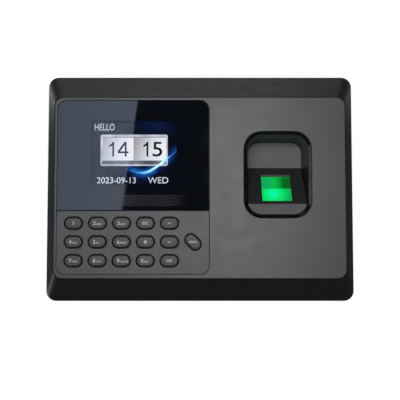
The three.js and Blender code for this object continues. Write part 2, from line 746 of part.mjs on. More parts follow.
// Black frame behind the sub-panel: one window for the display, one for the keypad.
function panelFrame() {
  const ledge = grow(ledgeBox, -GAP);
  const lapped = grow(panelBox, FRAME_LAP);
  const box = {
    left: Math.max(ledge.left, lapped.left),
    right: Math.min(ledge.right, lapped.right),
    bottom: Math.max(ledge.bottom, lapped.bottom),
    top: Math.min(ledge.top, lapped.top),
  };
  const displayRim = grow(displayBox, GAP + FRAME_RIM);
  const keypadRim = grow(matBox, GAP + FRAME_RIM);
  return slab(outline(box, FACE_CORNER - LEDGE_WIDTH / 2), frameBack, frameFront)
    .add(block(displayRim, backlightBack, frameFront))
    .add(slab(outline(keypadRim, MAT_CORNER + FRAME_RIM), matBack, frameFront))
    .subtract(block(grow(displayBox, GAP), backlightBack - OVERCUT, frameFront + OVERCUT))
    .subtract(slab(outline(grow(matBox, GAP), MAT_CORNER), matBack - OVERCUT, frameFront + OVERCUT));
}

const cellFront = plateBack - GAP;
const cellBack = cellFront - CELL_THICKNESS;
const backlightFront = cellBack - GAP;
const backlightBack = backlightFront - BACKLIGHT_THICKNESS;
const clampFront = backlightBack - GAP;
const clampBack = clampFront - CLAMP_THICKNESS;

add('panel_frame', panelFrame(), LOOKS.blackPlastic);
const lensOutline = outline(lensBox, PANEL_CORNER, PLATE_CORNER);
add('display_lens', slab(lensOutline, plateBack, BODY_DEPTH), LOOKS.lensGlass);

// ---------------------------------------------------------------- display

function displayClamp() {
  const plate = slab(outline(grow(displayBox, FRAME_RIM), 2), clampBack, clampFront);
  const vent = slab(outline(grow(displayBox, -CLAMP_BORDER), 3), clampBack - OVERCUT, clampFront + OVERCUT);
  return plate.subtract(vent);
}

add('display_cell', block(displayBox, cellBack, cellFront), LOOKS.screen);
add('display_backlight', block(displayBox, backlightBack, backlightFront), LOOKS.diffuser);
add('display_clamp', displayClamp(), LOOKS.steel);

// ---------------------------------------------------------------- keypad

const keyPlaces = [];
for (let row = 0; row < KEY_ROWS; row += 1) {
  for (let column = 0; column < KEY_COLUMNS; column += 1) {
    keyPlaces.push({
      x: panelBox.left + firstKeyX + column * keyPitchX,
      z: keypadTop - firstKeyZ - row * keyPitchZ,
      angle: 0,
    });
  }
}
const keyNames = ['1', '2', '3', 'esc', 'up', '4', '5', '6', 'hash', 'down', '7', '8', '9', '0', 'ok'];
keyPlaces.forEach((place, i) => {
  place.name = `key_${keyNames[i]}`;
});
keyPlaces.push({
  name: 'key_menu',
  x: panelBox.left + menuKeyX,
  z: keypadTop - firstKeyZ - keyPitchZ,
  angle: THREE.MathUtils.degToRad(MENU_KEY_ANGLE),
});

// Pill outline of the key, grown by the given amount, about a key's place.
function keyOutline(by, place = { x: 0, z: 0, angle: 0 }) {
  const width = KEY_WIDTH + 2 * by;
  const height = KEY_HEIGHT + 2 * by;
  const pill = outline(around(0, 0, width, height), height * PILL_ROUND);
  const centre = new THREE.Vector2(place.x, place.z);
  return pill.map((point) => point.rotateAround(new THREE.Vector2(), place.angle).add(centre));
}

// One key: a cap with a softened edge on a wider flange that stops it at the plate.
function keyCap() {
  const front = BODY_DEPTH + KEY_PROUD;
  const cap = loft([
    { points: keyOutline(0), out: flangeBack },
    { points: keyOutline(0), out: front - EDGE_ROUND / 2 },
    { points: keyOutline(-EDGE_ROUND), out: front },
  ]);
  return toGeometry(cap.add(slab(keyOutline(KEY_FLANGE), flangeBack, flangeFront)));
}

function keypadPlate() {
  let solid = slab(outline(keypadBox, PLATE_CORNER, PANEL_CORNER), plateBack, BODY_DEPTH);
  for (const place of keyPlaces) {
    const hole = slab(keyOutline(KEY_CLEARANCE, place), plateBack - OVERCUT, BODY_DEPTH + OVERCUT);
    solid = solid.subtract(hole);
  }
  return solid;
}

function keyMat() {
  let solid = slab(outline(matBox, MAT_CORNER), matBack, matFront);
  for (const place of keyPlaces) {
    solid = solid.add(
      loft([
        { points: keyOutline(0, place), out: matBack },
        { points: keyOutline(0, place), out: matFront },
        { points: keyOutline(-DOME_INSET, place), out: domeTop },
      ]),
    );
  }
  return solid;
}

add('keypad_plate', keypadPlate(), LOOKS.greyPlastic);
add('key_mat', keyMat(), LOOKS.silicone);
add(
  'keypad_board',
  slab(outline(grow(matBox, FRAME_RIM + GAP), MAT_CORNER), keypadBoardBack, keypadBoardFront),
  LOOKS.board,
);

const keys = new THREE.Group();
terminal.add(keys);
for (const place of keyPlaces) {
  const key = add(place.name, keyCap(), LOOKS.keyCap, keys);
  key.rotation.y = -place.angle;
  key.position.set(place.x, 0, place.z);
}

// ---------------------------------------------------------------- fingerprint reader

// A point on the reader's slope: along it from the crest, and below its surface.
function onSlope(along, below) {
  return [
    crest.z + along * inclineRun - below * inclineFall,
    crest.out - along * inclineFall - below * inclineRun,
  ];
}

// The reader's slope at a distance from the wall, moved under its surface.
function slopeZ(out, below) {
  const [z, reached] = onSlope(0, below);
  return z + ((reached - out) * inclineRun) / inclineFall;
}

// The well behind its chamfer, from the housing's floor out, grown by the given amount.
function wellHollow(by, back, front) {
  const mouth = grow(around(wellX, wellZ, WELL_WIDTH, WELL_HEIGHT), by - WELL_CHAMFER);
  const mouthOut = BODY_DEPTH - WELL_CHAMFER;
  const level = (out) => {
    const share = (mouthOut - out) / (mouthOut - housingFloorOut);
    const box = {
      left: mouth.left + share * WELL_DRAFT_X,
      right: mouth.right - share * WELL_DRAFT_X,
      bottom: mouth.bottom + share * WELL_DRAFT_Z,
      top: mouth.top - share * WELL_DRAFT_Z,
    };
    return { points: outline(box, WELL_CORNER - WELL_CHAMFER + by - share * WELL_DRAFT_X), out };
  };
  return loft([level(back), level(front)]);
}

function readerHousing() {
  const mouthOut = BODY_DEPTH - WELL_CHAMFER;
  const chamfer = loft([
    { points: wellOutline(-WELL_CHAMFER), out: mouthOut },
    { points: wellOutline(-WELL_LAND), out: BODY_DEPTH - WELL_LAND },
    { points: wellOutline(-WELL_LAND), out: BODY_DEPTH + OVERCUT },
  ]);
  const flange = slab(wellOutline(HOUSING_FLANGE), ledgeOut - HOUSING_FLANGE_THICKNESS, ledgeOut);
  const optics = {
    left: wellX - OPTICS_HALF_WIDTH,
    right: wellX + OPTICS_HALF_WIDTH,
    bottom: blockLowZ + BLOCK_WALL + 1,
    top: slopeZ(housingFloorOut, INCLINE_WALL) - 4,
  };
  return slab(wellOutline(0), housingBack, BODY_DEPTH)
    .add(flange)
    .subtract(wellHollow(0, housingFloorOut, mouthOut + 0.01))
    .subtract(chamfer)
    .subtract(block(optics, housingBack - OVERCUT, housingFloorOut + OVERCUT));
}

// Black wedge across the well that carries the window on its slope; open at the back.
function readerBlock() {
  const back = housingFloorOut + GAP;
  const wide = WELL_WIDTH / 2;
  const outer = profile(
    [
      [blockLowZ, back],
      [foot.z, back],
      [foot.z, foot.out],
      [crest.z, crest.out],
      [crest.z, lipUnderside - GAP],
      [blockLowZ, lipUnderside - GAP],
    ],
    wellX - wide,
    wellX + wide,
  );
  const roof = lipUnderside - GAP - BLOCK_WALL;
  const inner = profile(
    [
      [blockLowZ + BLOCK_WALL, back - OVERCUT],
      [slopeZ(back - OVERCUT, INCLINE_WALL), back - OVERCUT],
      [slopeZ(roof, INCLINE_WALL), roof],
      [blockLowZ + BLOCK_WALL, roof],
    ],
    wellX - OPTICS_HALF_WIDTH,
    wellX + OPTICS_HALF_WIDTH,
  );
  const windowStart = WINDOW_FROM_CREST - GAP;
  const windowEnd = WINDOW_FROM_CREST + WINDOW_LENGTH + GAP;
  const windowHole = profile(
    [
      onSlope(windowStart, INCLINE_WALL * 2),
      onSlope(windowEnd, INCLINE_WALL * 2),
      onSlope(windowEnd, -OVERCUT),
      onSlope(windowStart, -OVERCUT),
    ],
    wellX - WINDOW_WIDTH / 2 - GAP,
    wellX + WINDOW_WIDTH / 2 + GAP,
  );
  const seat = wellHollow(-GAP, housingFloorOut, BODY_DEPTH - WELL_CHAMFER);
  return outer.intersect(seat).subtract(inner).subtract(windowHole);
}

// Grey ledge between the slope's crest and the lower edge of the well.
function readerLip() {
  const outer = profile(
    [
      [blockLowZ - WELL_CHAMFER, lipUnderside],
      [crest.z - GAP, lipUnderside],
      [crest.z - GAP, crest.out],
      [blockLowZ - WELL_CHAMFER, BODY_DEPTH - WELL_CHAMFER],
    ],
    wellX - WELL_WIDTH / 2,
    wellX + WELL_WIDTH / 2,
  );
  return outer.intersect(wellHollow(-GAP, housingFloorOut, BODY_DEPTH - WELL_CHAMFER));
}

// Grey floor of the well, above the foot of the slope.
function readerFloor() {
  const box = { ...around(wellX, wellZ, WELL_WIDTH, WELL_HEIGHT), bottom: foot.z + GAP };
  return block(box, housingFloorOut + GAP, wellFloorOut)
    .intersect(wellHollow(-GAP, housingFloorOut, BODY_DEPTH - WELL_CHAMFER));
}

function readerWindow() {
  const end = WINDOW_FROM_CREST + WINDOW_LENGTH;
  return profile(
    [
      onSlope(WINDOW_FROM_CREST + PRISM_TAPER, PRISM_DEPTH),
      onSlope(end - PRISM_TAPER, PRISM_DEPTH),
      onSlope(end, INCLINE_WALL),
      onSlope(end, WINDOW_SUNK),
      onSlope(WINDOW_FROM_CREST, WINDOW_SUNK),
      onSlope(WINDOW_FROM_CREST, INCLINE_WALL),
    ],
    wellX - WINDOW_WIDTH / 2,
    wellX + WINDOW_WIDTH / 2,
  );
}

add('reader_housing', readerHousing(), LOOKS.blackPlastic);
add('reader_block', readerBlock(), LOOKS.blackPlastic);
add('reader_floor', readerFloor(), LOOKS.greyPlastic);
add('reader_lip', readerLip(), LOOKS.greyPlastic);
add('reader_window', readerWindow(), LOOKS.window);

const sensorBoardFront = housingBack - GAP;
const sensorBoardBack = sensorBoardFront - SENSOR_BOARD_THICKNESS;
const lensZ = wellZ + LENS_Z;
const sensorBoardBox = around(wellX, lensZ, SENSOR_BOARD_WIDTH, SENSOR_BOARD_HEIGHT);

add('sensor_board', slab(outline(sensorBoardBox, 2), sensorBoardBack, sensorBoardFront), LOOKS.board);

const lensBack = sensorBoardFront + GAP;
const prismFoot = onSlope(WINDOW_FROM_CREST + WINDOW_LENGTH - PRISM_TAPER, PRISM_DEPTH);
const lensFront = prismFoot[1] - LENS_CLEARANCE;
add(
  'sensor_lens',
  cylinderOut(wellX, lensZ, LENS_RADIUS, lensBack, lensFront).subtract(
    cylinderOut(wellX, lensZ, LENS_BORE, lensBack + 1, lensFront + OVERCUT),
  ),
  LOOKS.chip,
);

const lampBox = {
  left: wellX - WINDOW_WIDTH / 2,
  right: wellX + WINDOW_WIDTH / 2,
  bottom: blockLowZ + BLOCK_WALL + GAP,
  top: blockLowZ + BLOCK_WALL + GAP + LAMP_BOARD_THICKNESS,
};
add('reader_lamp_board', block(lampBox, housingFloorOut + 1, lipUnderside - BLOCK_WALL - 2), LOOKS.board);

// ---------------------------------------------------------------- circuit board

add('main_board', slab(outline(boardBox, 2), BOARD_OUT, boardFront).subtract(postHoles()), LOOKS.board);

function postHoles() {
  return boardPosts
    .map(({ x, z }) => cylinderOut(x, z, SCREW_RADIUS + GAP, BOARD_OUT - OVERCUT, boardFront + OVERCUT))
    .reduce((all, hole) => all.add(hole));
}

const boardMiddleX = (boardBox.left + boardBox.right) / 2;
const onBoard = boardFront + GAP;
const processorX = boardMiddleX + PROCESSOR_SHIFT;
const processorBox = around(processorX, displayZ, PROCESSOR_SIZE, PROCESSOR_SIZE);
add('processor', block(processorBox, onBoard, onBoard + PROCESSOR_HEIGHT), LOOKS.chip);

const cellX = boardMiddleX + CELL_SHIFT;
const cellZ = displayZ;
const holderRadius = CELL_RADIUS + HOLDER_WALL;
const holder = cylinderOut(cellX, cellZ, holderRadius, onBoard, onBoard + CELL_HEIGHT + 1);
const holderPocket = cylinderOut(cellX, cellZ, CELL_RADIUS + GAP, onBoard + 1, onBoard + CELL_HEIGHT + 2);
add('coin_cell_holder', holder.subtract(holderPocket), LOOKS.chip);
const cellOut = onBoard + 1 + GAP;
add('coin_cell', cylinderOut(cellX, cellZ, CELL_RADIUS, cellOut, cellOut + CELL_HEIGHT), LOOKS.steel);

// Sockets stand on the wall side of the board, with their mouths down into the bay.
function socketBody({ left, width, height, length }) {
  const box = { left, right: left + width, bottom: socketMouthZ, top: socketMouthZ + length };
  return block(box, socketsOut - height, socketsOut);
}

function networkSocket(socket) {
  const plug = {
    left: socket.left + NETWORK_WALL,
    right: socket.left + socket.width - NETWORK_WALL,
    bottom: socketMouthZ - OVERCUT,
    top: socketMouthZ + NETWORK_DEPTH,
  };
  const middle = socket.left + socket.width / 2;
  const latch = { ...plug, left: middle - LATCH_WIDTH / 2, right: middle + LATCH_WIDTH / 2 };
  const latchBack = socketsOut - socket.height + NETWORK_WALL;
  const plugBack = latchBack + LATCH_DEPTH;
  return socketBody(socket)
    .subtract(block(plug, plugBack, socketsOut - NETWORK_WALL))
    .subtract(block(latch, latchBack, plugBack + OVERCUT));
}

function usbSocket(socket) {
  const mouth = {
    left: socket.left + USB_WALL,
    right: socket.left + socket.width - USB_WALL,
    bottom: socketMouthZ - OVERCUT,
    top: socketMouthZ + USB_DEPTH,
  };
  const tongue = {
    left: socket.left + USB_TONGUE_INSET,
    right: socket.left + socket.width - USB_TONGUE_INSET,
    bottom: socketMouthZ + OVERCUT,
    top: socketMouthZ + USB_DEPTH + OVERCUT,
  };
  const high = socketsOut - USB_WALL;
  return socketBody(socket)
    .subtract(block(mouth, socketsOut - socket.height + USB_WALL, high))
    .add(block(tongue, high - 1 - USB_TONGUE_THICKNESS, high - 1));
}

function powerJack(socket) {
  const x = socket.left + socket.width / 2;
  const out = socketsOut - socket.height / 2;
  return socketBody(socket)
    .subtract(cylinderUp(x, out, JACK_BORE, socketMouthZ - OVERCUT, socketMouthZ + JACK_DEPTH))
    .add(cylinderUp(x, out, JACK_PIN, socketMouthZ + 1, socketMouthZ + JACK_DEPTH + 1));
}

const socketMakers = [networkSocket, usbSocket, powerJack];
const socketLooks = [LOOKS.steel, LOOKS.steel, LOOKS.chip];
sockets.forEach((socket, i) => {
  add(socket.name, socketMakers[i](socket), socketLooks[i]);
});

// ---------------------------------------------------------------- speaker

const gasketBack = REAR_BACK + REAR_WALL + GAP;
const speakerBack = gasketBack + GASKET_HEIGHT + GAP;
add(
  'speaker_gasket',
  cylinderOut(speakerX, speakerZ, SPEAKER_RADIUS, gasketBack, gasketBack + GASKET_HEIGHT).subtract(
    cylinderOut(speakerX, speakerZ, SPEAKER_RADIUS - GASKET_WIDTH, 0, speakerBack),
  ),
  LOOKS.foam,
);
add(
  'speaker',
  cylinderOut(speakerX, speakerZ, SPEAKER_RADIUS, speakerBack, speakerBack + SPEAKER_HEIGHT / 2).add(
    cylinderOut(speakerX, speakerZ, SPEAKER_RADIUS * 0.6, speakerBack, speakerBack + SPEAKER_HEIGHT),
  ),
  LOOKS.chip,
);

// ---------------------------------------------------------------- ribbons and lead

// A flat strip of even thickness along a line of [a, out] points.
function strip(points) {
  const line = points.map(([a, out]) => new THREE.Vector2(a, out));
  const side = (sign) =>
    line.map((point, i) => {
      const before = line[Math.max(i - 1, 0)];
      const after = line[Math.min(i + 1, line.length - 1)];
      const along = after.clone().sub(before).normalize();
      const shift = (sign * RIBBON_THICKNESS) / 2;
      return [point.x - along.y * shift, point.y + along.x * shift];
    });
  return [...side(-1), ...side(1).reverse()];
}

// A ribbon that leaves one board, turns down and comes back onto the main board.
function foldedRibbon(x, startZ, foldZ, startOut) {
  const endOut = onBoard + RIBBON_THICKNESS;
  const line = [
    [startZ, startOut],
    [foldZ + RIBBON_BEND, startOut],
    [foldZ, startOut - RIBBON_BEND],
    [foldZ, endOut + RIBBON_BEND],
    [foldZ + RIBBON_BEND, endOut],
    [startZ, endOut],
  ];
  return profile(strip(line), x - RIBBON_WIDTH / 2, x + RIBBON_WIDTH / 2);
}

const keypadRibbonZ = keypadTop - RIBBON_START;
const displayRibbonZ = displayBox.bottom + RIBBON_START;
add(
  'keypad_ribbon',
  foldedRibbon(displayX, keypadRibbonZ, keypadRibbonZ - RIBBON_REACH, keypadBoardBack - RIBBON_THICKNESS),
  LOOKS.ribbon,
);
add(
  'display_ribbon',
  foldedRibbon(displayX, displayRibbonZ, displayRibbonZ - RIBBON_REACH, clampBack - RIBBON_THICKNESS),
  LOOKS.ribbon,
);

// The reader's ribbon runs level, in an S from its board to the edge of the main board.
function readerRibbon() {
  const startX = sensorBoardBox.left + 3;
  const endX = boardBox.right - 3;
  const startOut = sensorBoardBack - RIBBON_THICKNESS;
  const endOut = BOARD_OUT - RIBBON_THICKNESS;
  const line = [
    [endX, endOut],
    [boardBox.right + 1, endOut],
    [wellX - WELL_WIDTH / 2 - 1, startOut],
    [startX, startOut],
  ];
  const shape = new THREE.Shape(strip(line).map(([x, out]) => new THREE.Vector2(x, -out)));
  const geometry = new THREE.ExtrudeGeometry(shape, { depth: RIBBON_WIDTH, bevelEnabled: false });
  geometry.translate(0, 0, lensZ - RIBBON_WIDTH / 2);
  return toSolid(geometry);
}

add('reader_ribbon', readerRibbon(), LOOKS.ribbon);

function speakerLead() {
  const speakerSide = speakerX - SPEAKER_RADIUS * 0.6 - 2;
  const leadOut = speakerBack + SPEAKER_HEIGHT / 2 + LEAD_RADIUS + GAP;
  const boardEnd = boardPosts[3];
  const path = new THREE.CatmullRomCurve3([
    new THREE.Vector3(speakerSide, -leadOut, speakerZ + 4),
    new THREE.Vector3(speakerSide - 8, -leadOut - 1, speakerZ + 6),
    new THREE.Vector3(boardEnd.x + 10, -BOARD_OUT + 4, boardEnd.z + 8),
    new THREE.Vector3(boardEnd.x + 2, -BOARD_OUT + LEAD_RADIUS + GAP, boardEnd.z + 12),
  ]);
  const section = new THREE.Shape();
  section.absarc(0, 0, LEAD_RADIUS, 0, Math.PI * 2);
  return new THREE.ExtrudeGeometry(section, { steps: 14, curveSegments: 4, extrudePath: path });
}

add('speaker_lead', toSolid(speakerLead()), LOOKS.lead);

export default terminal;
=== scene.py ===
"""Fingerprint scanner terminal: its finished surfaces, studio light and camera."""

import math
from typing import NamedTuple

import bmesh
import bpy
from mathutils import Matrix, Vector

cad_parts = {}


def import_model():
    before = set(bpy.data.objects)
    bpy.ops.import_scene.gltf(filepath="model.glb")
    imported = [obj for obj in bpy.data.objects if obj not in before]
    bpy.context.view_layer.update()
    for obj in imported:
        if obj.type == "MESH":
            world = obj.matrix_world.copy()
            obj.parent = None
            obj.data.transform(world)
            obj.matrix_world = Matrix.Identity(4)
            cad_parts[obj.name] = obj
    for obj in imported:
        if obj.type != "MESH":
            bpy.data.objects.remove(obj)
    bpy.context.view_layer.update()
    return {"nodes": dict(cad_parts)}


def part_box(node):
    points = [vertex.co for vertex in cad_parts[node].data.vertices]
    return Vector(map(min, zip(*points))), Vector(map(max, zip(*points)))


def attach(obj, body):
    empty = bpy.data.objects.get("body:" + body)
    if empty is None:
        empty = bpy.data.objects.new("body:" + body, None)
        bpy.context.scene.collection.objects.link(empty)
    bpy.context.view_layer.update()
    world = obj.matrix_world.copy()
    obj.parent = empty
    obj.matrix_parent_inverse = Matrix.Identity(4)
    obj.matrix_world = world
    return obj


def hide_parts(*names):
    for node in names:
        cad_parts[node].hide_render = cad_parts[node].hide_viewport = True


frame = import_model()

MM = 0.001
GAP = 0.3  # between pieces that touch
BODY = "terminal"
CORNER_STEPS = 12
SMOOTH_ANGLE = math.radians(30)
FLAT_ANGLE = math.radians(60)  # for flat pieces with small rounded edges


# ---------------------------------------------------------------- places, in millimetres


class Box(NamedTuple):
    """A box seen from the front."""

    left: float
    right: float
    bottom: float
    top: float

    def grow(self, by):
        return Box(self.left - by, self.right + by, self.bottom - by, self.top + by)

    def middle(self):
        return (self.left + self.right) / 2, (self.bottom + self.top) / 2


def around(x, z, width, height):
    return Box(x - width / 2, x + width / 2, z - height / 2, z + height / 2)


def mix(a, b, share):
    return a + (b - a) * share


def place(x, z, out):
    """A point across, up and out from the wall."""
    return Vector((x * MM, -out * MM, z * MM))


def reach(node):
    """Box of a CAD node seen from the front, and where it starts and ends, out from the wall."""
    low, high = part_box(node)
    return Box(low.x / MM, high.x / MM, low.z / MM, high.z / MM), -high.y / MM, -low.y / MM


# ---------------------------------------------------------------- materials


def srgb(red, green, blue):
    """A screen colour, each channel from 0 to 255, as the shader's linear colour."""

    def linear(channel):
        share = channel / 255
        return share / 12.92 if share <= 0.04045 else ((share + 0.055) / 1.055) ** 2.4

    return linear(red), linear(green), linear(blue), 1.0


class Nodes:
    """A material's node tree with short calls for the nodes used here."""

    def __init__(self, name):
        self.material = bpy.data.materials.new(name)
        self.material.use_nodes = True
        self.tree = self.material.node_tree
        self.shader = self.tree.nodes["Principled BSDF"]
        self.object_place = self.add("ShaderNodeTexCoord").outputs["Object"]

    def add(self, kind, **settings):
        node = self.tree.nodes.new(kind)
        for key, value in settings.items():
            setattr(node, key, value)
        return node

    def link(self, source, target):
        self.tree.links.new(source, target)

    def feed(self, socket, value):
        if isinstance(value, bpy.types.NodeSocket):
            self.link(value, socket)
        else:
            socket.default_value = value

    def set(self, **values):
        """Sets or links the shader's sockets; an underscore stands for a space."""
        for key, value in values.items():
            self.feed(self.shader.inputs[key.replace("_", " ")], value)
        return self

    def math(self, operation, a, b=0.0, clamp=False):
        node = self.add("ShaderNodeMath", operation=operation, use_clamp=clamp)
        self.feed(node.inputs[0], a)
        self.feed(node.inputs[1], b)
        return node.outputs[0]

    def plus(self, a, b):
        return self.math("ADD", a, b)

    def minus(self, a, b):
        return self.math("SUBTRACT", a, b)

    def times(self, a, b):
        return self.math("MULTIPLY", a, b)

    def away(self, a, b):
        return self.math("ABSOLUTE", self.minus(a, b))

    def noise(self, scale, detail=3.0, stretch=(1.0, 1.0, 1.0)):
        """Noise with that many cells to the metre."""
        mapping = self.add("ShaderNodeMapping")
        mapping.inputs["Scale"].default_value = stretch
        self.link(self.object_place, mapping.inputs["Vector"])
        node = self.add("ShaderNodeTexNoise")
        node.inputs["Scale"].default_value = scale
        node.inputs["Detail"].default_value = detail
        self.link(mapping.outputs[0], node.inputs["Vector"])
        return node.outputs["Fac"]

    def ramp(self, value, stops, interpolation="LINEAR"):
        """Colours at places from 0 to 1."""
        node = self.add("ShaderNodeValToRGB")
        node.color_ramp.interpolation = interpolation
        elements = node.color_ramp.elements
        while len(elements) < len(stops):
            elements.new(0.5)
        for element, (at, colour) in zip(elements, stops):
            element.position = at
            element.color = colour
        self.link(value, node.inputs["Fac"])
        return node.outputs["Color"]

    def range(self, value, low, high, to_low=0.0, to_high=1.0):
        node = self.add("ShaderNodeMapRange")
        self.link(value, node.inputs["Value"])
        for socket, number in zip(node.inputs[1:5], (low, high, to_low, to_high)):
            socket.default_value = number
        return node.outputs[0]

    def blend(self, share, a, b, blend_type="MIX"):
        node = self.add("ShaderNodeMix", data_type="RGBA", blend_type=blend_type)
        self.feed(node.inputs["Factor"], share)
        self.feed(node.inputs["A"], a)
        self.feed(node.inputs["B"], b)
        return node.outputs["Result"]

    def drift(self, colour, low, high, cells, detail=3.0):
        """A colour that turns a little darker and lighter from place to place."""
        stops = [(0.3, shade(colour, low)), (0.7, shade(colour, high))]
        return self.ramp(self.noise(cells, detail), stops)

    def uneven(self, value, by, cells):
        """A value that goes up and down a little from place to place."""
        return self.range(self.noise(cells), 0.3, 0.7, value - by, value + by)

    def bump(self, height, strength, distance):
        node = self.add("ShaderNodeBump")
        node.inputs["Strength"].default_value = strength
        node.inputs["Distance"].default_value = distance
        self.link(height, node.inputs["Height"])
        return node.outputs["Normal"]

    def axes(self):
        """Object X and Z in millimetres."""
        node = self.add("ShaderNodeSeparateXYZ")
        self.link(self.object_place, node.inputs[0])
        return self.math("DIVIDE", node.outputs["X"], MM), self.math("DIVIDE", node.outputs["Z"], MM)


def shade(colour, by):
    return (*(channel * by for channel in colour[:3]), 1.0)


GRAIN_DEPTH = 0.04 * MM
STREAK_DEPTH = 0.03 * MM
GLASS_IOR = 1.5
BONDED_IOR = 1.01  # next to nothing, because no air lies between the pane and the picture
GLASS_POLISH = 0.03
POLISH_SPREAD = 0.4
PICTURE_STRENGTH = 1.1


def moulded(name, colour, roughness, spread=0.06, grain=0.12, cells=2600.0):
    """Plastic or rubber with slow changes of tone, a fine grain and an uneven gloss."""
    nodes = Nodes(name)
    base = nodes.drift(colour, 1 - spread, 1 + spread, 45.0, 4.0)
    fine = nodes.bump(nodes.noise(cells, 2.0), grain, GRAIN_DEPTH)
    return nodes.set(Base_Color=base, Roughness=nodes.uneven(roughness, 0.04, 160.0), Normal=fine).material


def metal(name, colour, roughness, stretch=(1.0, 1.0, 14.0), cells=900.0):
    """Plated or brushed metal with streaks along one direction."""
    nodes = Nodes(name)
    streaks = nodes.noise(cells, 3.0, stretch)
    gloss = nodes.range(streaks, 0.3, 0.7, roughness - 0.08, roughness + 0.08)
    nodes.set(Base_Color=nodes.drift(colour, 0.86, 1.08, 70.0), Roughness=gloss, Metallic=1.0)
    return nodes.set(Normal=nodes.bump(streaks, 0.1, STREAK_DEPTH)).material


def solder_mask():
    """Green board with copper tracks that show through as lighter lines."""
    nodes = Nodes("solder_mask")
    tracks = nodes.add("ShaderNodeTexVoronoi", feature="DISTANCE_TO_EDGE", distance="MANHATTAN")
    tracks.inputs["Scale"].default_value = 260.0
    nodes.link(nodes.object_place, tracks.inputs["Vector"])
    line = nodes.math("LESS_THAN", tracks.outputs["Distance"], 0.07)
    base = nodes.blend(line, srgb(14, 66, 36), srgb(30, 104, 56))
    nodes.set(Base_Color=base, Roughness=nodes.uneven(0.36, 0.06, 300.0))
    return nodes.set(Normal=nodes.bump(line, 0.3, STREAK_DEPTH)).material


def ribbon_film():
    """Amber film with copper conductors side by side."""
    nodes = Nodes("ribbon_film")
    across = nodes.math("FRACT", nodes.math("DIVIDE", nodes.axes()[1], 0.8))
    line = nodes.math("GREATER_THAN", across, 0.45)
    base = nodes.blend(line, srgb(170, 96, 38), srgb(206, 142, 74))
    return nodes.set(Base_Color=base, Roughness=nodes.range(nodes.noise(120.0), 0, 1, 0.3, 0.4)).material


def clear_glass():
    """Clear pane bonded to the picture, which carries the gloss; its tint is faintly uneven."""
    nodes = Nodes("clear_glass")
    tint = nodes.ramp(nodes.noise(60.0), [(0.3, srgb(244, 248, 252)), (0.7, srgb(248, 250, 253))])
    nodes.set(Base_Color=tint, Roughness=0.0)
    return nodes.set(Transmission_Weight=1.0, IOR=BONDED_IOR).material


def glossy_picture(nodes, dark, glow):
    """Finishes a part of the picture: nearly black when off, lit, and polished like the glass."""
    polish = nodes.uneven(GLASS_POLISH, GLASS_POLISH * POLISH_SPREAD, 60.0)
    nodes.set(Base_Color=dark, Roughness=polish, IOR=GLASS_IOR)
    return nodes.set(Emission_Color=glow, Emission_Strength=PICTURE_STRENGTH).material


def printed_glass(name, colour, roughness=GLASS_POLISH):
    """Glass with ink behind it: the ink's tone drifts a little, the top is polished."""
    nodes = Nodes(name)
    polish = nodes.uneven(roughness, roughness * POLISH_SPREAD, 60.0)
    base = nodes.drift(colour, 0.8, 1.2, 90.0)
    return nodes.set(Base_Color=base, Roughness=polish, IOR=GLASS_IOR).material


def lit(name, colours):
    """A part of the display's picture that drifts between two colours."""
    nodes = Nodes(name)
    glow = nodes.ramp(nodes.noise(160.0), [(0.35, colours[0]), (0.65, colours[1])])
    return glossy_picture(nodes, shade(colours[0], 0.05), glow)


# ---------------------------------------------------------------- shape helpers


def outline(box, radius, low_radius=None, steps=CORNER_STEPS):
    """Points of a rounded box, anticlockwise, with its own radius at the bottom corners."""
    low = radius if low_radius is None else low_radius
    corners = (
        (box.right - low, box.bottom + low, low, -90),
        (box.right - radius, box.top - radius, radius, 0),
        (box.left + radius, box.top - radius, radius, 90),
        (box.left + low, box.bottom + low, low, 180),
    )
    points = []
    for x, z, bend, start in corners:
        for i in range(steps + 1):
            angle = math.radians(start + 90 * i / steps)
            points.append((x + bend * math.cos(angle), z + bend * math.sin(angle)))
    return points


def skin(mesh, low, high):
    """Faces between two rings of equal point count."""
    for i in range(len(low)):
        mesh.faces.new((low[i - 1], low[i], high[i], high[i - 1]))


def loft(mesh, levels, closed=False):
    """Skins outlines of equal point count, given as (points, out), and returns their rings."""
    rings = [[mesh.verts.new(place(x, z, out)) for x, z in points] for points, out in levels]
    pairs = list(zip(rings, rings[1:]))
    if closed:
        pairs.append((rings[-1], rings[0]))
    for low, high in pairs:
        skin(mesh, low, high)
    return rings


def fill(mesh, rings):
    """Closes the flat area inside the first ring and outside the others."""
    edges = [mesh.edges.get((ring[i - 1], ring[i])) for ring in rings for i in range(len(ring))]
    bmesh.ops.triangle_fill(mesh, use_beauty=True, use_dissolve=False, edges=edges)


def slab(mesh, points, back, front, slot=0):
    """A flat closed plate of the given outline."""
    before = len(mesh.faces)
    rings = loft(mesh, [(points, back), (points, front)])
    mesh.faces.new(reversed(rings[0]))
    mesh.faces.new(rings[1])
    mesh.faces.ensure_lookup_table()
    for face in mesh.faces[before:]:
        face.material_index = slot


def pierced(mesh, points, opening, back, front):
    """A flat closed plate with one opening."""
    outer = loft(mesh, [(points, back), (points, front)])
    inner = loft(mesh, [(opening, back), (opening, front)])
    for ring, hole in zip(outer, inner):
        fill(mesh, [ring, hole])


def disc(x, z, radius, steps):
    turn = 2 * math.pi / steps
    return [(x + radius * math.cos(i * turn), z + radius * math.sin(i * turn)) for i in range(steps)]


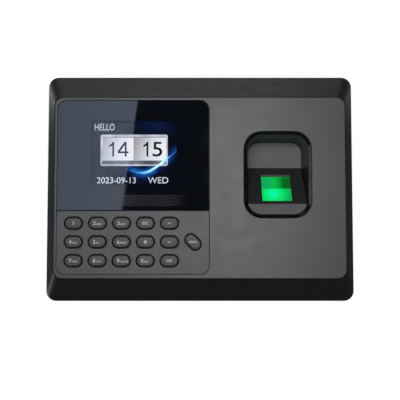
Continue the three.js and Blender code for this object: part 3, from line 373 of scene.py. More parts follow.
def spin(mesh, section, steps=32):
    """Turns a section of (radius, along) points round local Z; its ends lie on the axis."""
    rings = []
    for radius, along in section:
        if radius == 0:
            rings.append([mesh.verts.new((0, 0, along * MM))])
            continue
        turn = 2 * math.pi / steps
        circle = [(math.cos(i * turn), math.sin(i * turn)) for i in range(steps)]
        rings.append([mesh.verts.new((radius * MM * a, radius * MM * b, along * MM)) for a, b in circle])
    for low, high in zip(rings, rings[1:]):
        for i in range(steps):
            if len(low) == 1:
                mesh.faces.new((low[0], high[i], high[i - 1]))
            elif len(high) == 1:
                mesh.faces.new((low[i - 1], low[i], high[0]))
            else:
                mesh.faces.new((low[i - 1], low[i], high[i], high[i - 1]))


def letters(mesh, text, x, z, height, out, thickness, slot=0, width=0.0, align="CENTER", weight=0.0):
    """Adds flat lettering of a given height, and width if one is given, that ends at out."""
    curve = bpy.data.curves.new("letters", "FONT")
    curve.body = text
    curve.extrude = 0.5
    curve.resolution_u = 4
    curve.offset = weight
    holder = bpy.data.objects.new("letters", curve)
    shape = bpy.data.meshes.new_from_object(holder)
    xs = [vertex.co.x for vertex in shape.vertices]
    ys = [vertex.co.y for vertex in shape.vertices]
    scale = height / (max(ys) - min(ys))
    stretch = width / ((max(xs) - min(xs)) * scale) if width else 1.0
    anchor = {"CENTER": (max(xs) + min(xs)) / 2, "LEFT": min(xs), "RIGHT": max(xs)}[align]
    middle = (max(ys) + min(ys)) / 2
    corners = []
    for vertex in shape.vertices:
        across = x + (vertex.co.x - anchor) * scale * stretch
        up = z + (vertex.co.y - middle) * scale
        corners.append(mesh.verts.new(place(across, up, out - thickness * (0.5 - vertex.co.z))))
    for polygon in shape.polygons:
        face = mesh.faces.new([corners[i] for i in polygon.vertices])
        face.material_index = slot
    bpy.data.objects.remove(holder)
    bpy.data.meshes.remove(shape)
    bpy.data.curves.remove(curve)


def make(name, mesh, materials, replaced=(), body=BODY, soften=0.0, smooth=SMOOTH_ANGLE):
    """Turns a mesh under construction into a finished piece that rides on a body."""
    bmesh.ops.recalc_face_normals(mesh, faces=mesh.faces)
    data = bpy.data.meshes.new(name)
    mesh.to_mesh(data)
    mesh.free()
    piece = bpy.data.objects.new(name, data)
    bpy.context.scene.collection.objects.link(piece)
    finish_surface(piece, soften, smooth)
    for material in materials:
        data.materials.append(material)
    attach(piece, body)
    if replaced:
        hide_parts(*replaced)
    return piece


def finish_surface(piece, soften, smooth=SMOOTH_ANGLE):
    """Rounds the edges and evens the shading of broad faces."""
    piece.data.shade_smooth()
    if soften:
        bevel = piece.modifiers.new("edge", "BEVEL")
        bevel.width = soften * MM
        bevel.segments = 3
        bevel.limit_method = "ANGLE"
        bevel.angle_limit = SMOOTH_ANGLE
        bevel.miter_outer = "MITER_ARC"
    else:
        piece.data.set_sharp_from_angle(angle=smooth)
    normals = piece.modifiers.new("shading", "WEIGHTED_NORMAL")
    normals.keep_sharp = True


def whole_faces(node):
    """A CAD node's shape with its flat faces in one piece each."""
    mesh = bmesh.new()
    mesh.from_mesh(frame["nodes"][node].data)
    bmesh.ops.remove_doubles(mesh, verts=mesh.verts, dist=1e-6)
    bmesh.ops.dissolve_limit(mesh, angle_limit=math.radians(1), verts=mesh.verts, edges=mesh.edges)
    return mesh


def refine(node, material, soften=0.3, name=None):
    """A CAD node's shape with softened edges, standing for that node."""
    return make(name or f"{node}_moulding", whole_faces(node), [material], (node,), BODY, soften)


def combine(piece, tool, operation):
    """Cuts a piece with a tool, or keeps what they share, and removes the tool."""
    modifiers = [(m.name, m.type) for m in piece.modifiers]
    cut = piece.modifiers.new("cut", "BOOLEAN")
    cut.operation = operation
    cut.object = tool
    cut.solver = "EXACT"
    for name, kind in modifiers:
        piece.modifiers[name].show_viewport = False
    bpy.context.view_layer.update()
    graph = bpy.context.evaluated_depsgraph_get()
    data = bpy.data.meshes.new_from_object(piece.evaluated_get(graph))
    piece.modifiers.remove(cut)
    for name, kind in modifiers:
        piece.modifiers[name].show_viewport = True
    piece.data = data
    bpy.data.objects.remove(tool)


def loose(name, mesh):
    """A shape that is only used to cut another."""
    bmesh.ops.recalc_face_normals(mesh, faces=mesh.faces)
    data = bpy.data.meshes.new(name)
    mesh.to_mesh(data)
    mesh.free()
    tool = bpy.data.objects.new(name, data)
    bpy.context.scene.collection.objects.link(tool)
    return tool


# ---------------------------------------------------------------- finishes

BLACK = srgb(38, 38, 38)
GREY = srgb(87, 87, 86)

black_plastic = moulded("black_plastic", BLACK, 0.42)
inner_plastic = moulded("inner_plastic", BLACK, 0.55)
gloss_black = moulded("gloss_black", srgb(20, 20, 20), 0.16, grain=0.02)
block_black = moulded("block_black", srgb(46, 46, 46), 0.5)
face_paint = moulded("face_paint", GREY, 0.36, spread=0.02, grain=0.06)
keypad_paint = moulded("keypad_paint", srgb(93, 93, 92), 0.42, spread=0.02, grain=0.06)
# The floor's grey is set lighter than the lip's: its own grey with painted light added, for the floor deep
# in the well.
well_grey = moulded("well_grey", srgb(110, 110, 110), 0.55, spread=0.02, grain=0.06)
lip_grey = moulded("lip_grey", srgb(100, 100, 100), 0.55, spread=0.02, grain=0.06)
key_plastic = moulded("key_plastic", srgb(84, 84, 84), 0.45, spread=0.03, grain=0.08)
legend_ink = moulded("legend_ink", srgb(222, 222, 222), 0.5, spread=0.04)
# Dark grey of the key mat's silicone, also put on the keys' flanges as painted shade in the gap round each
# cap.
silicone = moulded("silicone", srgb(34, 35, 37), 0.75)
nylon = moulded("nylon", srgb(24, 25, 27), 0.5)
foam = moulded("foam", srgb(30, 30, 31), 0.95, spread=0.25, grain=0.8, cells=1400.0)
cloth = moulded("cloth", srgb(26, 26, 27), 0.9, spread=0.25, grain=0.9, cells=3200.0)
diffuser = moulded("diffuser", srgb(226, 230, 236), 0.45)
red_jacket = moulded("red_jacket", srgb(150, 26, 24), 0.4)
zinc = metal("zinc", srgb(176, 180, 186), 0.38)
steel = metal("steel", srgb(196, 198, 202), 0.3, (1.0, 1.0, 1.0), 1600.0)
gold = metal("gold", srgb(226, 182, 92), 0.25, (1.0, 1.0, 1.0), 1600.0)
board = solder_mask()
film = ribbon_film()
glass = clear_glass()
# Black ink behind the glass with a blue cast: the black is the print, the blue is a painted reflection of a
# bluish room.
black_print_blue_reflection = printed_glass("black_print_blue_reflection", srgb(5, 9, 18))
dot_print = printed_glass("dot_print", srgb(72, 72, 70), 0.12)


# ---------------------------------------------------------------- case

rim, seam_out, body_out = reach("front_case")
face = reach("face_plate")[0].grow(GAP)
RIM_THICKNESS = 2.0
RIM_ROUND = 1.5
BODY_CORNER = 6.0
FACE_CORNER = 5.0
CREST = 0.3  # width of the soft crest between bezel and face
SEAM_ROUND = 0.5  # of the rim's back edge, at the seam between the two cases
CASE_WALL = 2.4
LEDGE_WIDTH = 3.0
LEDGE_THICKNESS = 2.0
ledge_out = reach("panel_frame")[2]
rim_out = seam_out + RIM_THICKNESS


def slope_level(share, out, inset=0.0):
    """Outline of the sloping bezel, from the rim at 0 to the crest at 1."""
    crest = face.grow(CREST)
    box = Box(*(mix(a, b, share) for a, b in zip(rim, crest))).grow(-inset)
    radius = mix(BODY_CORNER, FACE_CORNER + CREST, share) - inset * 0.5
    return outline(box, radius), out


def bend(start, corner, end, steps=5):
    """Points on a smooth bend from start to end that leans to the corner."""
    points = []
    for i in range(steps + 1):
        share = i / steps
        first = [mix(a, b, share) for a, b in zip(start, corner)]
        last = [mix(a, b, share) for a, b in zip(corner, end)]
        points.append([mix(a, b, share) for a, b in zip(first, last)])
    return points


def front_case():
    """Sloping bezel round the face plate, with its rounded rim and crest."""
    depth = body_out - rim_out
    lift = RIM_ROUND * 1.2
    levels = [
        slope_level(0, seam_out, SEAM_ROUND),
        slope_level(0, seam_out + SEAM_ROUND * 0.3, SEAM_ROUND * 0.3),
        slope_level(0, seam_out + SEAM_ROUND),
    ]
    for share, out in bend((0, rim_out - 0.7), (0, rim_out), (lift / depth, rim_out + lift)):
        levels.append(slope_level(share, out))
    levels.append(slope_level(0.97, mix(rim_out, body_out - CREST / 2, 0.97)))
    crest = bend((CREST, body_out - CREST / 2), (CREST * 0.6, body_out), (CREST * 0.3, body_out), 3)
    for grown, out in crest:
        levels.append((outline(face.grow(grown), FACE_CORNER + grown), out))
    levels.append((outline(face.grow(0.02), FACE_CORNER), body_out - 0.25))
    ledge = outline(face.grow(-LEDGE_WIDTH), FACE_CORNER - LEDGE_WIDTH / 2)
    ledge_back = ledge_out - LEDGE_THICKNESS
    levels += [(outline(face, FACE_CORNER), ledge_out), (ledge, ledge_out), (ledge, ledge_back)]
    levels.append(slope_level((ledge_back - rim_out) / depth, ledge_back, CASE_WALL))
    levels += [slope_level(0, rim_out, CASE_WALL), slope_level(0, seam_out, CASE_WALL)]
    mesh = bmesh.new()
    loft(mesh, levels, closed=True)
    make("front_case_bezel", mesh, [black_plastic], ["front_case"])


front_case()
refine("rear_case", black_plastic, 0.35)
refine("wall_bracket", zinc, 0.25)


# ---------------------------------------------------------------- face plate and keypad plate

lens_box, plate_back, _ = reach("display_lens")
keypad_box = reach("keypad_plate")[0]
panel = Box(keypad_box.left, keypad_box.right, keypad_box.bottom, lens_box.top)
HOUSING_FLANGE = 3.0
well = reach("reader_housing")[0].grow(-HOUSING_FLANGE)
PANEL_CORNER = 5.0
WELL_CORNER = 10.4
EDGE_SOFT = 0.2
SEAM = 0.1  # half the width of the fine line left between two parts of the face
FACE_THICKNESS = 2.0


def soft_edge(edge, back, front, soft, sign):
    """Levels of an upright edge that rounds over at its front."""
    levels = [(edge(0), back), (edge(0), front - soft)]
    for i in range(1, 5):
        angle = math.radians(22.5 * i)
        levels.append((edge(sign * soft * (1 - math.cos(angle))), front - soft * (1 - math.sin(angle))))
    return levels


def plate(node, edge, holes, back, material):
    """A painted plate with holes; edge and holes give their outline grown by an amount."""
    mesh = bmesh.new()
    fronts = []
    backs = []
    for i, line in enumerate([edge, *holes]):
        rings = loft(mesh, soft_edge(line, back, body_out, EDGE_SOFT, 1 if i else -1))
        backs.append(rings[0])
        fronts.append(rings[-1])
    fill(mesh, fronts)
    fill(mesh, backs)
    make(f"{node}_painted", mesh, [material], [node], smooth=FLAT_ANGLE)


def face_edge(by):
    return outline(face.grow(by - SEAM), FACE_CORNER - SEAM + by)


def panel_edge(by):
    return outline(panel.grow(2 * SEAM + by), PANEL_CORNER + 2 * SEAM + by)


def well_edge(by):
    return outline(well.grow(SEAM + by), WELL_CORNER + SEAM + by)


plate("face_plate", face_edge, [panel_edge, well_edge], body_out - FACE_THICKNESS, face_paint)


# ---------------------------------------------------------------- keys

KEY_WIDTH = 9.6
KEY_HEIGHT = 6.1
KEY_CLEARANCE = 0.8
KEY_FLANGE = 1.4
KEY_CROWN = 0.12
KEY_FLANGE_THICKNESS = 0.9
KEY_SOFT = 0.55
MENU_ANGLE = math.radians(-45)
DIGIT_HEIGHT = 2.3
DIGIT_SHIFT = 1.7  # to the left, where letters follow
LETTER_HEIGHT = 1.15
LETTER_SHIFT = 1.1  # from the middle of the digit
LETTER_DROP = 0.5
WORD_HEIGHT = 1.7
MENU_WORD_HEIGHT = 1.25
PRINT_WEIGHT = 0.02
INK = 0.06
LEGENDS = {
    "key_1": ("1", ""),
    "key_2": ("2", "ABC"),
    "key_3": ("3", "DEF"),
    "key_4": ("4", "GHI"),
    "key_5": ("5", "JKL"),
    "key_6": ("6", "MNO"),
    "key_7": ("7", "PQRS"),
    "key_8": ("8", "TUV"),
    "key_9": ("9", "WXYZ"),
    "key_0": ("0", "SPC"),
    "key_hash": ("#", ""),
}
WORDS = {"key_esc": "ESC", "key_ok": "OK", "key_menu": "MENU"}
CHEVRONS = {"key_up": 1, "key_down": -1}


def pill(node, by):
    """Outline of a key, grown by an amount; the menu key stands slanted."""
    x, z = reach(node)[0].middle()
    angle = MENU_ANGLE if node == "key_menu" else 0.0
    radius = KEY_HEIGHT / 2 + by - 0.01
    points = outline(around(0, 0, KEY_WIDTH + 2 * by, KEY_HEIGHT + 2 * by), radius)
    cos, sin = math.cos(angle), math.sin(angle)
    return [(x + a * cos - b * sin, z + a * sin + b * cos) for a, b in points]


def chevron(mesh, x, z, direction, out):
    """A printed arrow head, pointing up or down."""
    half, rise, bar = 1.0, 0.45, 0.42
    top = z + direction * rise
    low = z - direction * rise
    points = [
        (x - half, low),
        (x, top - direction * bar * 0.6),
        (x + half, low),
        (x + half, low + direction * bar),
        (x, top + direction * bar * 0.4),
        (x - half, low + direction * bar),
    ]
    slab(mesh, points, out - INK, out, 1)


def key_cap(mesh, node, back, front):
    """A softly crowned cap on its flange, which takes the third material: a dark grey that paints the shade
    in the gap round the cap.
    """
    flange_out = back + KEY_FLANGE_THICKNESS
    levels = [(pill(node, KEY_FLANGE), back), (pill(node, KEY_FLANGE), flange_out - 0.15)]
    levels += [(pill(node, KEY_FLANGE - 0.15), flange_out), (pill(node, 0.1), flange_out)]
    levels.append((pill(node, 0), flange_out + 0.1))
    top = front - KEY_CROWN
    for i in range(5):
        angle = math.radians(22.5 * i)
        inset = KEY_SOFT * (1 - math.cos(angle))
        levels.append((pill(node, -inset), top - KEY_SOFT * (1 - math.sin(angle))))
    for inset in (1.0, 1.6, 2.2, 2.8):
        share = (inset - KEY_SOFT) / (KEY_HEIGHT / 2 - KEY_SOFT)
        levels.append((pill(node, -inset), top + KEY_CROWN * math.sin(share * math.pi / 2)))
    rings = loft(mesh, levels)
    mesh.faces.new(rings[0])
    # The flange's faces take the dark third material, painted shade in the gap round the cap.
    for polygon in mesh.faces:
        deepest = max(-vertex.co.y for vertex in polygon.verts)
        polygon.material_index = 2 if deepest < (flange_out + 0.05) * MM else 0
    mesh.faces.new(rings[-1])


def key_print(mesh, node, x, z, out):
    """Legends of one key: a digit with its letters, a word or an arrow head."""

    def mark(text, left, up, height, align="CENTER"):
        letters(mesh, text, left, up, height, out, INK * 2, 1, 0.0, align, PRINT_WEIGHT)

    if node in LEGENDS:
        digit, small = LEGENDS[node]
        digit_x = x - DIGIT_SHIFT if small else x
        mark(digit, digit_x, z, DIGIT_HEIGHT)
        if small:
            mark(small, digit_x + LETTER_SHIFT, z - LETTER_DROP, LETTER_HEIGHT, "LEFT")
    if node in WORDS:
        mark(WORDS[node], x, z, MENU_WORD_HEIGHT if node == "key_menu" else WORD_HEIGHT)
    if node in CHEVRONS:
        chevron(mesh, x, z, CHEVRONS[node], out)


def key(node):
    """One key with its printed legends."""
    box, back, front = reach(node)
    mesh = bmesh.new()
    key_cap(mesh, node, back, front)
    key_print(mesh, node, *box.middle(), front)
    make(f"{node}_cap_printed", mesh, [key_plastic, legend_ink, silicone], [node], f"{node}_cap")


key_nodes = [*LEGENDS, *WORDS, *CHEVRONS]
for key_node in key_nodes:
    key(key_node)


def keypad_edge(by):
    return outline(keypad_box.grow(by), 0.4 + by, PANEL_CORNER + by)


def key_hole(node):
    return lambda by: pill(node, KEY_CLEARANCE + by)


plate("keypad_plate", keypad_edge, [key_hole(node) for node in key_nodes], plate_back, keypad_paint)


# ---------------------------------------------------------------- display

ACTIVE_WIDTH = 49.0
ACTIVE_HEIGHT = 36.8
ACTIVE_DROP = 30.6  # middle of the picture, below the top of the lens
ACTIVE_SHIFT = 0.55  # to the right of the lens's middle
WINDOW_BORDER = 0.15
WINDOW_GLASS = 0.25  # thickness of the glass over the picture, which fills a pocket behind it
active_x = lens_box.middle()[0] + ACTIVE_SHIFT
active_z = lens_box.top - ACTIVE_DROP
active = around(active_x, active_z, ACTIVE_WIDTH, ACTIVE_HEIGHT)
cell_front = reach("display_cell")[2]
LAYER = 0.04  # one layer of the picture above the next
SHEET = 0.03
PICTURE_LAYERS = 5
pocket_out = body_out - WINDOW_GLASS
picture_out = pocket_out - PICTURE_LAYERS * LAYER


def display_lens():
    """One sheet of glass, black but for a clear window with a pocket for the picture behind."""
    window = outline(active.grow(WINDOW_BORDER), 0.3, steps=4)

    def edge(by):
        return outline(lens_box.grow(by), PANEL_CORNER + by, 0.4 + by)

    mesh = bmesh.new()
    rings = loft(mesh, soft_edge(edge, plate_back, body_out, 0.12, -1))
    pocket = loft(mesh, [(window, plate_back), (window, pocket_out)])
    pane = [mesh.verts.new(place(x, z, body_out)) for x, z in window]
    for clear in (pocket[1], pane):
        mesh.faces.new(clear).material_index = 1
    fill(mesh, [rings[0], pocket[0]])
    fill(mesh, [rings[-1], pane])
    make("display_lens_glass", mesh, [black_print_blue_reflection, glass], ["display_lens"], smooth=FLAT_ANGLE)


DOT_PITCH = 1.7
DOT_ROWS = 8
DOT_RADIUS = 0.44
DOTS_FROM_LEFT = 25.0
DOTS_FROM_RIGHT = 9.9
DOTS_FROM_BOTTOM = 2.7


def dot_rows():
    """Printed dots along the foot of the glass, smaller towards both ends."""
    left, right = lens_box.left + DOTS_FROM_LEFT, lens_box.right - DOTS_FROM_RIGHT
    middle, half = (left + right) / 2 - 1, (right - left) / 2
    mesh = bmesh.new()
    for row in range(DOT_ROWS):
        start = left + (DOT_PITCH / 2 if row % 2 else 0.0)
        z = lens_box.bottom + DOTS_FROM_BOTTOM + row * DOT_PITCH / 2
        for column in range(int((right - left) / DOT_PITCH)):
            x = start + column * DOT_PITCH
            radius = DOT_RADIUS * max(0.0, 1 - (abs(x - middle) / (half * 1.06)) ** 2.4)
            if radius > 0.08:
                slab(mesh, disc(x, z, radius, 6), body_out - 0.05, body_out + 0.01)
    make("lens_dot_print", mesh, [dot_print])


ARC_X = -33.5  # lowest point of the picture's bright arc
ARC_Z = 7.3
ARC_BEND = 6.0
ARC_RISE = 0.90
ARC_LEFT = -43.0
ARC_STEP = 0.75
HAZE_X = -25.0  # brightest place of the haze along the arc
HAZE_REACH = 23.0
HAZE_WIDTH = 7.5
CLOUD_X = -27.0  # middle of the dim haze above the clock
CLOUD_Z = 36.0
CLOUD_REACH_X = 15.0
CLOUD_REACH_Z = 13.0


def arc_z(x):
    """Height of the arc's middle line."""
    reached = ARC_RISE * (x - ARC_X)
    if x < ARC_X:
        reached *= 0.68
    return ARC_Z + math.sqrt(reached**2 + ARC_BEND**2) - ARC_BEND


def picture_ground():
    """Navy ground with a blue haze along the arc and a dimmer one above."""
    nodes = Nodes("picture_ground")
    x, z = nodes.axes()
    run = nodes.times(nodes.minus(x, ARC_X), ARC_RISE)
    square = nodes.plus(nodes.times(run, run), ARC_BEND**2)
    line = nodes.plus(nodes.math("SQRT", square), ARC_Z - ARC_BEND)
    near = nodes.math("POWER", nodes.range(nodes.away(z, line), HAZE_WIDTH, 0.0), 2.2)
    along = nodes.math("POWER", nodes.range(nodes.away(x, HAZE_X), HAZE_REACH, 0.0), 0.6)
    haze = nodes.times(near, along)
    high_x = nodes.range(nodes.away(x, CLOUD_X), CLOUD_REACH_X, 0.0)
    high_z = nodes.range(nodes.away(z, CLOUD_Z), CLOUD_REACH_Z, 0.0)
    cloud = nodes.times(nodes.times(high_x, high_z), 0.22)
    wisps = nodes.range(nodes.noise(130.0, 4.0, (1.0, 1.0, 2.4)), 0.35, 0.65, 0.45, 1.25)
    stops = [
        (0.0, srgb(3, 5, 15)),
        (0.18, srgb(6, 20, 56)),
        (0.45, srgb(12, 62, 128)),
        (0.75, srgb(30, 116, 190)),
        (1.0, srgb(96, 186, 236)),
    ]
    amount = nodes.times(nodes.math("MAXIMUM", haze, cloud), wisps)
    return glossy_picture(nodes, srgb(2, 3, 6), nodes.ramp(amount, stops))


def arc_light():
    """Light of the arc: white-blue where it is brightest, fading to blue at both ends."""
    nodes = Nodes("arc_light")
    x = nodes.axes()[0]
    stops = [
        (0.0, srgb(14, 50, 110)),
        (0.25, srgb(60, 150, 215)),
        (0.45, srgb(150, 215, 250)),
        (0.72, srgb(214, 255, 255)),
        (0.82, srgb(150, 225, 250)),
        (0.90, srgb(50, 125, 200)),
        (1.0, srgb(20, 80, 160)),
    ]
    along = nodes.range(x, ARC_LEFT - 1.0, ARC_LEFT + 29.0)
    return glossy_picture(nodes, srgb(4, 8, 14), nodes.ramp(along, stops))


CARD_LEAN = 0.35  # of the shading on the clock's cards


def card_face(name, left, right, box):
    """Silver face of a flip card, lighter to the right and with a sheen across it."""
    nodes = Nodes(name)
    x, z = nodes.axes()
    slant = nodes.minus(x, nodes.times(z, CARD_LEAN))
    share = nodes.range(slant, box.left - box.top * CARD_LEAN, box.right - box.bottom * CARD_LEAN)
    sheen = nodes.times(nodes.noise(240.0, 2.0, (1.0, 1.0, 0.3)), 0.12)
    amount = nodes.math("ADD", share, nodes.minus(sheen, 0.06), clamp=True)
    glow = nodes.ramp(amount, [(0.0, left), (0.5, shade(right, 0.8)), (0.9, right)])
    return glossy_picture(nodes, srgb(20, 20, 21), glow)


FIGURE_HEIGHT = 8.6
FIGURE_BAR = 1.05  # width of the strokes of the clock's figures


def figure_one(mesh, right, low, high, back, front):
    """The figure 1 with its flag."""
    bar = FIGURE_BAR
    tip = right - bar * 2.7
    points = [
        (right, low),
        (right, high),
        (right - bar * 0.75, high),
        (right - bar * 1.4, high - bar),
        (tip, high - bar * 1.9),
        (tip, high - bar * 2.95),
        (right - bar * 1.7, high - bar * 2.5),
        (right - bar, high - bar * 1.95),
        (right - bar, low),
    ]
    slab(mesh, points, back, front)


def figure_four(mesh, left, right, low, high, back, front):
    """The figure 4 with its open middle."""
    bar = FIGURE_BAR
    stem = right - bar * 1.1
    rest = low + (high - low) * 0.23
    points = [
        (stem - bar, low),
        (stem, low),
        (stem, rest),
        (right, rest),
        (right, rest + bar),
        (stem, rest + bar),
        (stem, high),
        (stem - bar * 1.15, high),
        (left, rest + bar * 1.1),
        (left, rest),
        (stem - bar, rest),
    ]
    opening = [(left + bar * 1.3, rest + bar), (stem - bar, rest + bar), (stem - bar, high - bar * 1.75)]
    pierced(mesh, points, opening, back, front)


def picture_layer(name, level, build, material):
    """One flat layer of the picture, lit from behind."""
    mesh = bmesh.new()
    front = picture_out + level * LAYER
    build(mesh, front - SHEET, front)
    make(name, mesh, [material], smooth=FLAT_ANGLE)


clock = Box(active.left + 4.9, active.right - 5.1, active.top - 26.1, active.top - 7.8)
CLOCK_CORNER = 1.1
CLOCK_BORDER = 1.3
CLOCK_LEDGE = 3.2  # from the foot of the clock to its cards
CARD_GAP = 0.34
split_x = clock.middle()[0] - 0.1
card_low = clock.bottom + CLOCK_LEDGE
card_top = clock.top - CLOCK_BORDER - 0.5
left_card = Box(clock.left + CLOCK_BORDER, split_x - CARD_GAP / 2, card_low, card_top)
right_card = Box(split_x + CARD_GAP / 2, clock.right - 0.9, card_low, card_top)
FIGURES_FROM_MIDDLE = 4.4  # foot of the clock's figures, below the middle of the cards
CAPTION_HEIGHT = 3.6
GREETING_HEIGHT = 3.9


def picture_sheet(mesh, back, front):
    """The ground of the picture, as thick as the pocket in the glass is deep."""
    slab(mesh, outline(active, 0.05, steps=1), cell_front + SHEET, front)


def clock_frame(mesh, back, front):
    slab(mesh, outline(clock, CLOCK_CORNER, steps=5), back, front)


def clock_shadows(mesh, back, front):
    """Dark foot, upper groove and hinge line of the clock."""
    foot = Box(clock.left + 0.7, clock.right - 0.7, clock.bottom + 0.9, card_low - 0.1)
    slab(mesh, outline(foot, 0.4, steps=3), back, front)
    groove = Box(clock.left + 1.2, clock.right - 1.0, card_top + 0.1, card_top + 0.5)
    slab(mesh, outline(groove, 0.1, steps=2), back, front)
    hinge = Box(left_card.right, right_card.left, card_low, groove.bottom)
    slab(mesh, outline(hinge.grow(-0.02), 0.05, steps=1), back, front)


def card_sheet(box):
    return lambda mesh, back, front: slab(mesh, outline(box, 0.3, steps=3), back, front)


def clock_figures(mesh, back, front):
    low = left_card.middle()[1] - FIGURES_FROM_MIDDLE
    high = low + FIGURE_HEIGHT
    hour = left_card.middle()[0]
    minute = right_card.middle()[0] + 1.3
    figure_one(mesh, hour - 2.4, low, high, back, front)
    figure_four(mesh, hour - 0.3, hour + 6.0, low, high, back, front)
    figure_one(mesh, minute - 2.4, low, high, back, front)
    middle = (low + high) / 2
    letters(mesh, "5", minute + 2.9, middle, FIGURE_HEIGHT, front, front - back, 0, 5.7, weight=0.006)


def captions(mesh, back, front):
    """Greeting at the upper left, date and weekday along the foot."""
    thick = front - back
    left, right = active.left, active.right
    greeting_z = active.top - 3.4
    date_z = active.bottom + 2.3
    letters(mesh, "HELLO", left + 1.4, greeting_z, GREETING_HEIGHT, front, thick, 0, 11.6, "LEFT")
    letters(mesh, "2023-09-13", left + 2.9, date_z, CAPTION_HEIGHT, front, thick, 0, 22.6, "LEFT", 0.004)
    letters(mesh, "WED", right - 4.7, date_z, CAPTION_HEIGHT, front, thick, 0, 11.8, "RIGHT", 0.004)


def arc_half_width(x):
    """The arc is thin at its tail, wider at its belly, widest at the bright star."""
    tail = max(0.0, min(1.0, (x - ARC_LEFT + 0.5) / 12))
    belly = math.exp(-(((x + 26.5) / 6.5) ** 2))
    star = math.exp(-(((x + 21.2) / 1.7) ** 2))
    return 1.1 * (0.14 + tail * (0.16 + 0.42 * belly) + 0.55 * star)


def arc(mesh, back, front):
    end = active.right - 0.1
    xs = [ARC_LEFT + i * ARC_STEP for i in range(math.ceil((end - ARC_LEFT) / ARC_STEP))] + [end]
    upper = [(x, arc_z(x) + arc_half_width(x)) for x in xs]
    lower = [(x, arc_z(x) - arc_half_width(x)) for x in xs]
    slab(mesh, lower + upper[::-1], back, front)


def display_picture():
    """The lit picture, layer by layer from its ground up."""
    silver = lit("clock_silver", (srgb(160, 160, 170), srgb(204, 204, 212)))
    foot = lit("clock_foot", (srgb(72, 76, 82), srgb(118, 122, 130)))
    ink = lit("clock_ink", (srgb(18, 18, 22), srgb(30, 30, 36)))
    text = lit("caption_light", (srgb(186, 190, 198), srgb(214, 218, 226)))
    left = card_face("left_card_silver", srgb(158, 158, 170), srgb(232, 232, 238), left_card)
    right = card_face("right_card_silver", srgb(150, 143, 146), srgb(236, 236, 240), right_card)
    picture_layer("picture_ground_glow", 0, picture_sheet, picture_ground())
    picture_layer("picture_clock_frame", 1, clock_frame, silver)
    picture_layer("picture_clock_foot", 2, clock_shadows, foot)
    picture_layer("picture_left_card", 2, card_sheet(left_card), left)
    picture_layer("picture_right_card", 2, card_sheet(right_card), right)
    picture_layer("picture_clock_digits", 3, clock_figures, ink)
    picture_layer("picture_captions", 3, captions, text)
    picture_layer("picture_arc", 4, arc, arc_light())


display_lens()
dot_rows()
display_picture()
refine("display_cell", black_print_blue_reflection, 0.2, "display_cell_edge")


# ---------------------------------------------------------------- fingerprint reader

CHAMFER = 2.0
DRAFT_X = 1.4
DRAFT_Z = 1.9
HOUSING_FLOOR = 1.8
HOUSING_FLANGE_THICKNESS = 2.0
OPTICS_WIDTH = 26.0
OPTICS_HEIGHT = 18.0
OPTICS_DROP = 3.0
housing_back = reach("reader_housing")[1]
housing_floor = housing_back + HOUSING_FLOOR
mouth_out = body_out - CHAMFER
block_box, _, crest_out = reach("reader_block")
_, floor_back, floor_out = reach("reader_floor")
lip_box, lip_back, _ = reach("reader_lip")
crest_z = lip_box.top + GAP
foot_z = block_box.top
slope_length = math.hypot(foot_z - crest_z, crest_out - floor_out)
run = (foot_z - crest_z) / slope_length
fall = (crest_out - floor_out) / slope_length
WINDOW_FROM_CREST = 1.8
WINDOW_LENGTH = 20.0
PRISM_DEPTH = 5.0
PRISM_TAPER = 3.5
WINDOW_SUNK = 0.15
WINDOW_BEVEL = 0.3
WINDOW_EDGE = 1.0  # width of the dark ground edge round the lit field
FROSTED_LENGTH = 1.6
INCLINE_WALL = 2.2
LIGHT_HALF = 8.0  # half the width of the lit field
WINDOW_STRENGTH = 0.9


def on_slope(along, below):
    """A (z, out) point along the reader's slope from its crest, under its surface."""
    return crest_z + along * run - below * fall, crest_out - along * fall - below * run


def well_level(out, inset):
    """Outline of the well behind its chamfer at a distance from the wall."""
    share = (mouth_out - out) / (mouth_out - housing_floor)
    mouth = well.grow(-CHAMFER - inset)
    box = Box(
        mouth.left + share * DRAFT_X,
        mouth.right - share * DRAFT_X,
        mouth.bottom + share * DRAFT_Z,
        mouth.top - share * DRAFT_Z,
    )
    return outline(box, WELL_CORNER - CHAMFER - inset - share * DRAFT_X), out


def cup_black():
    """Black of the cup: matt grey above the foot of the block's slope, much darker beside and below the
    block.
    """
    nodes = Nodes("cup_black")
    above = nodes.range(nodes.axes()[1], foot_z - 0.4, foot_z + 0.1)
    low = nodes.drift(srgb(29, 29, 29), 0.85, 1.15, 45.0, 4.0)
    high = nodes.drift(srgb(88, 88, 88), 0.94, 1.06, 45.0, 4.0)
    grain = nodes.bump(nodes.noise(2600.0, 2.0), 0.12, GRAIN_DEPTH)
    nodes.set(Base_Color=nodes.blend(above, low, high), Roughness=nodes.uneven(0.5, 0.04, 160.0))
    return nodes.set(Normal=grain).material


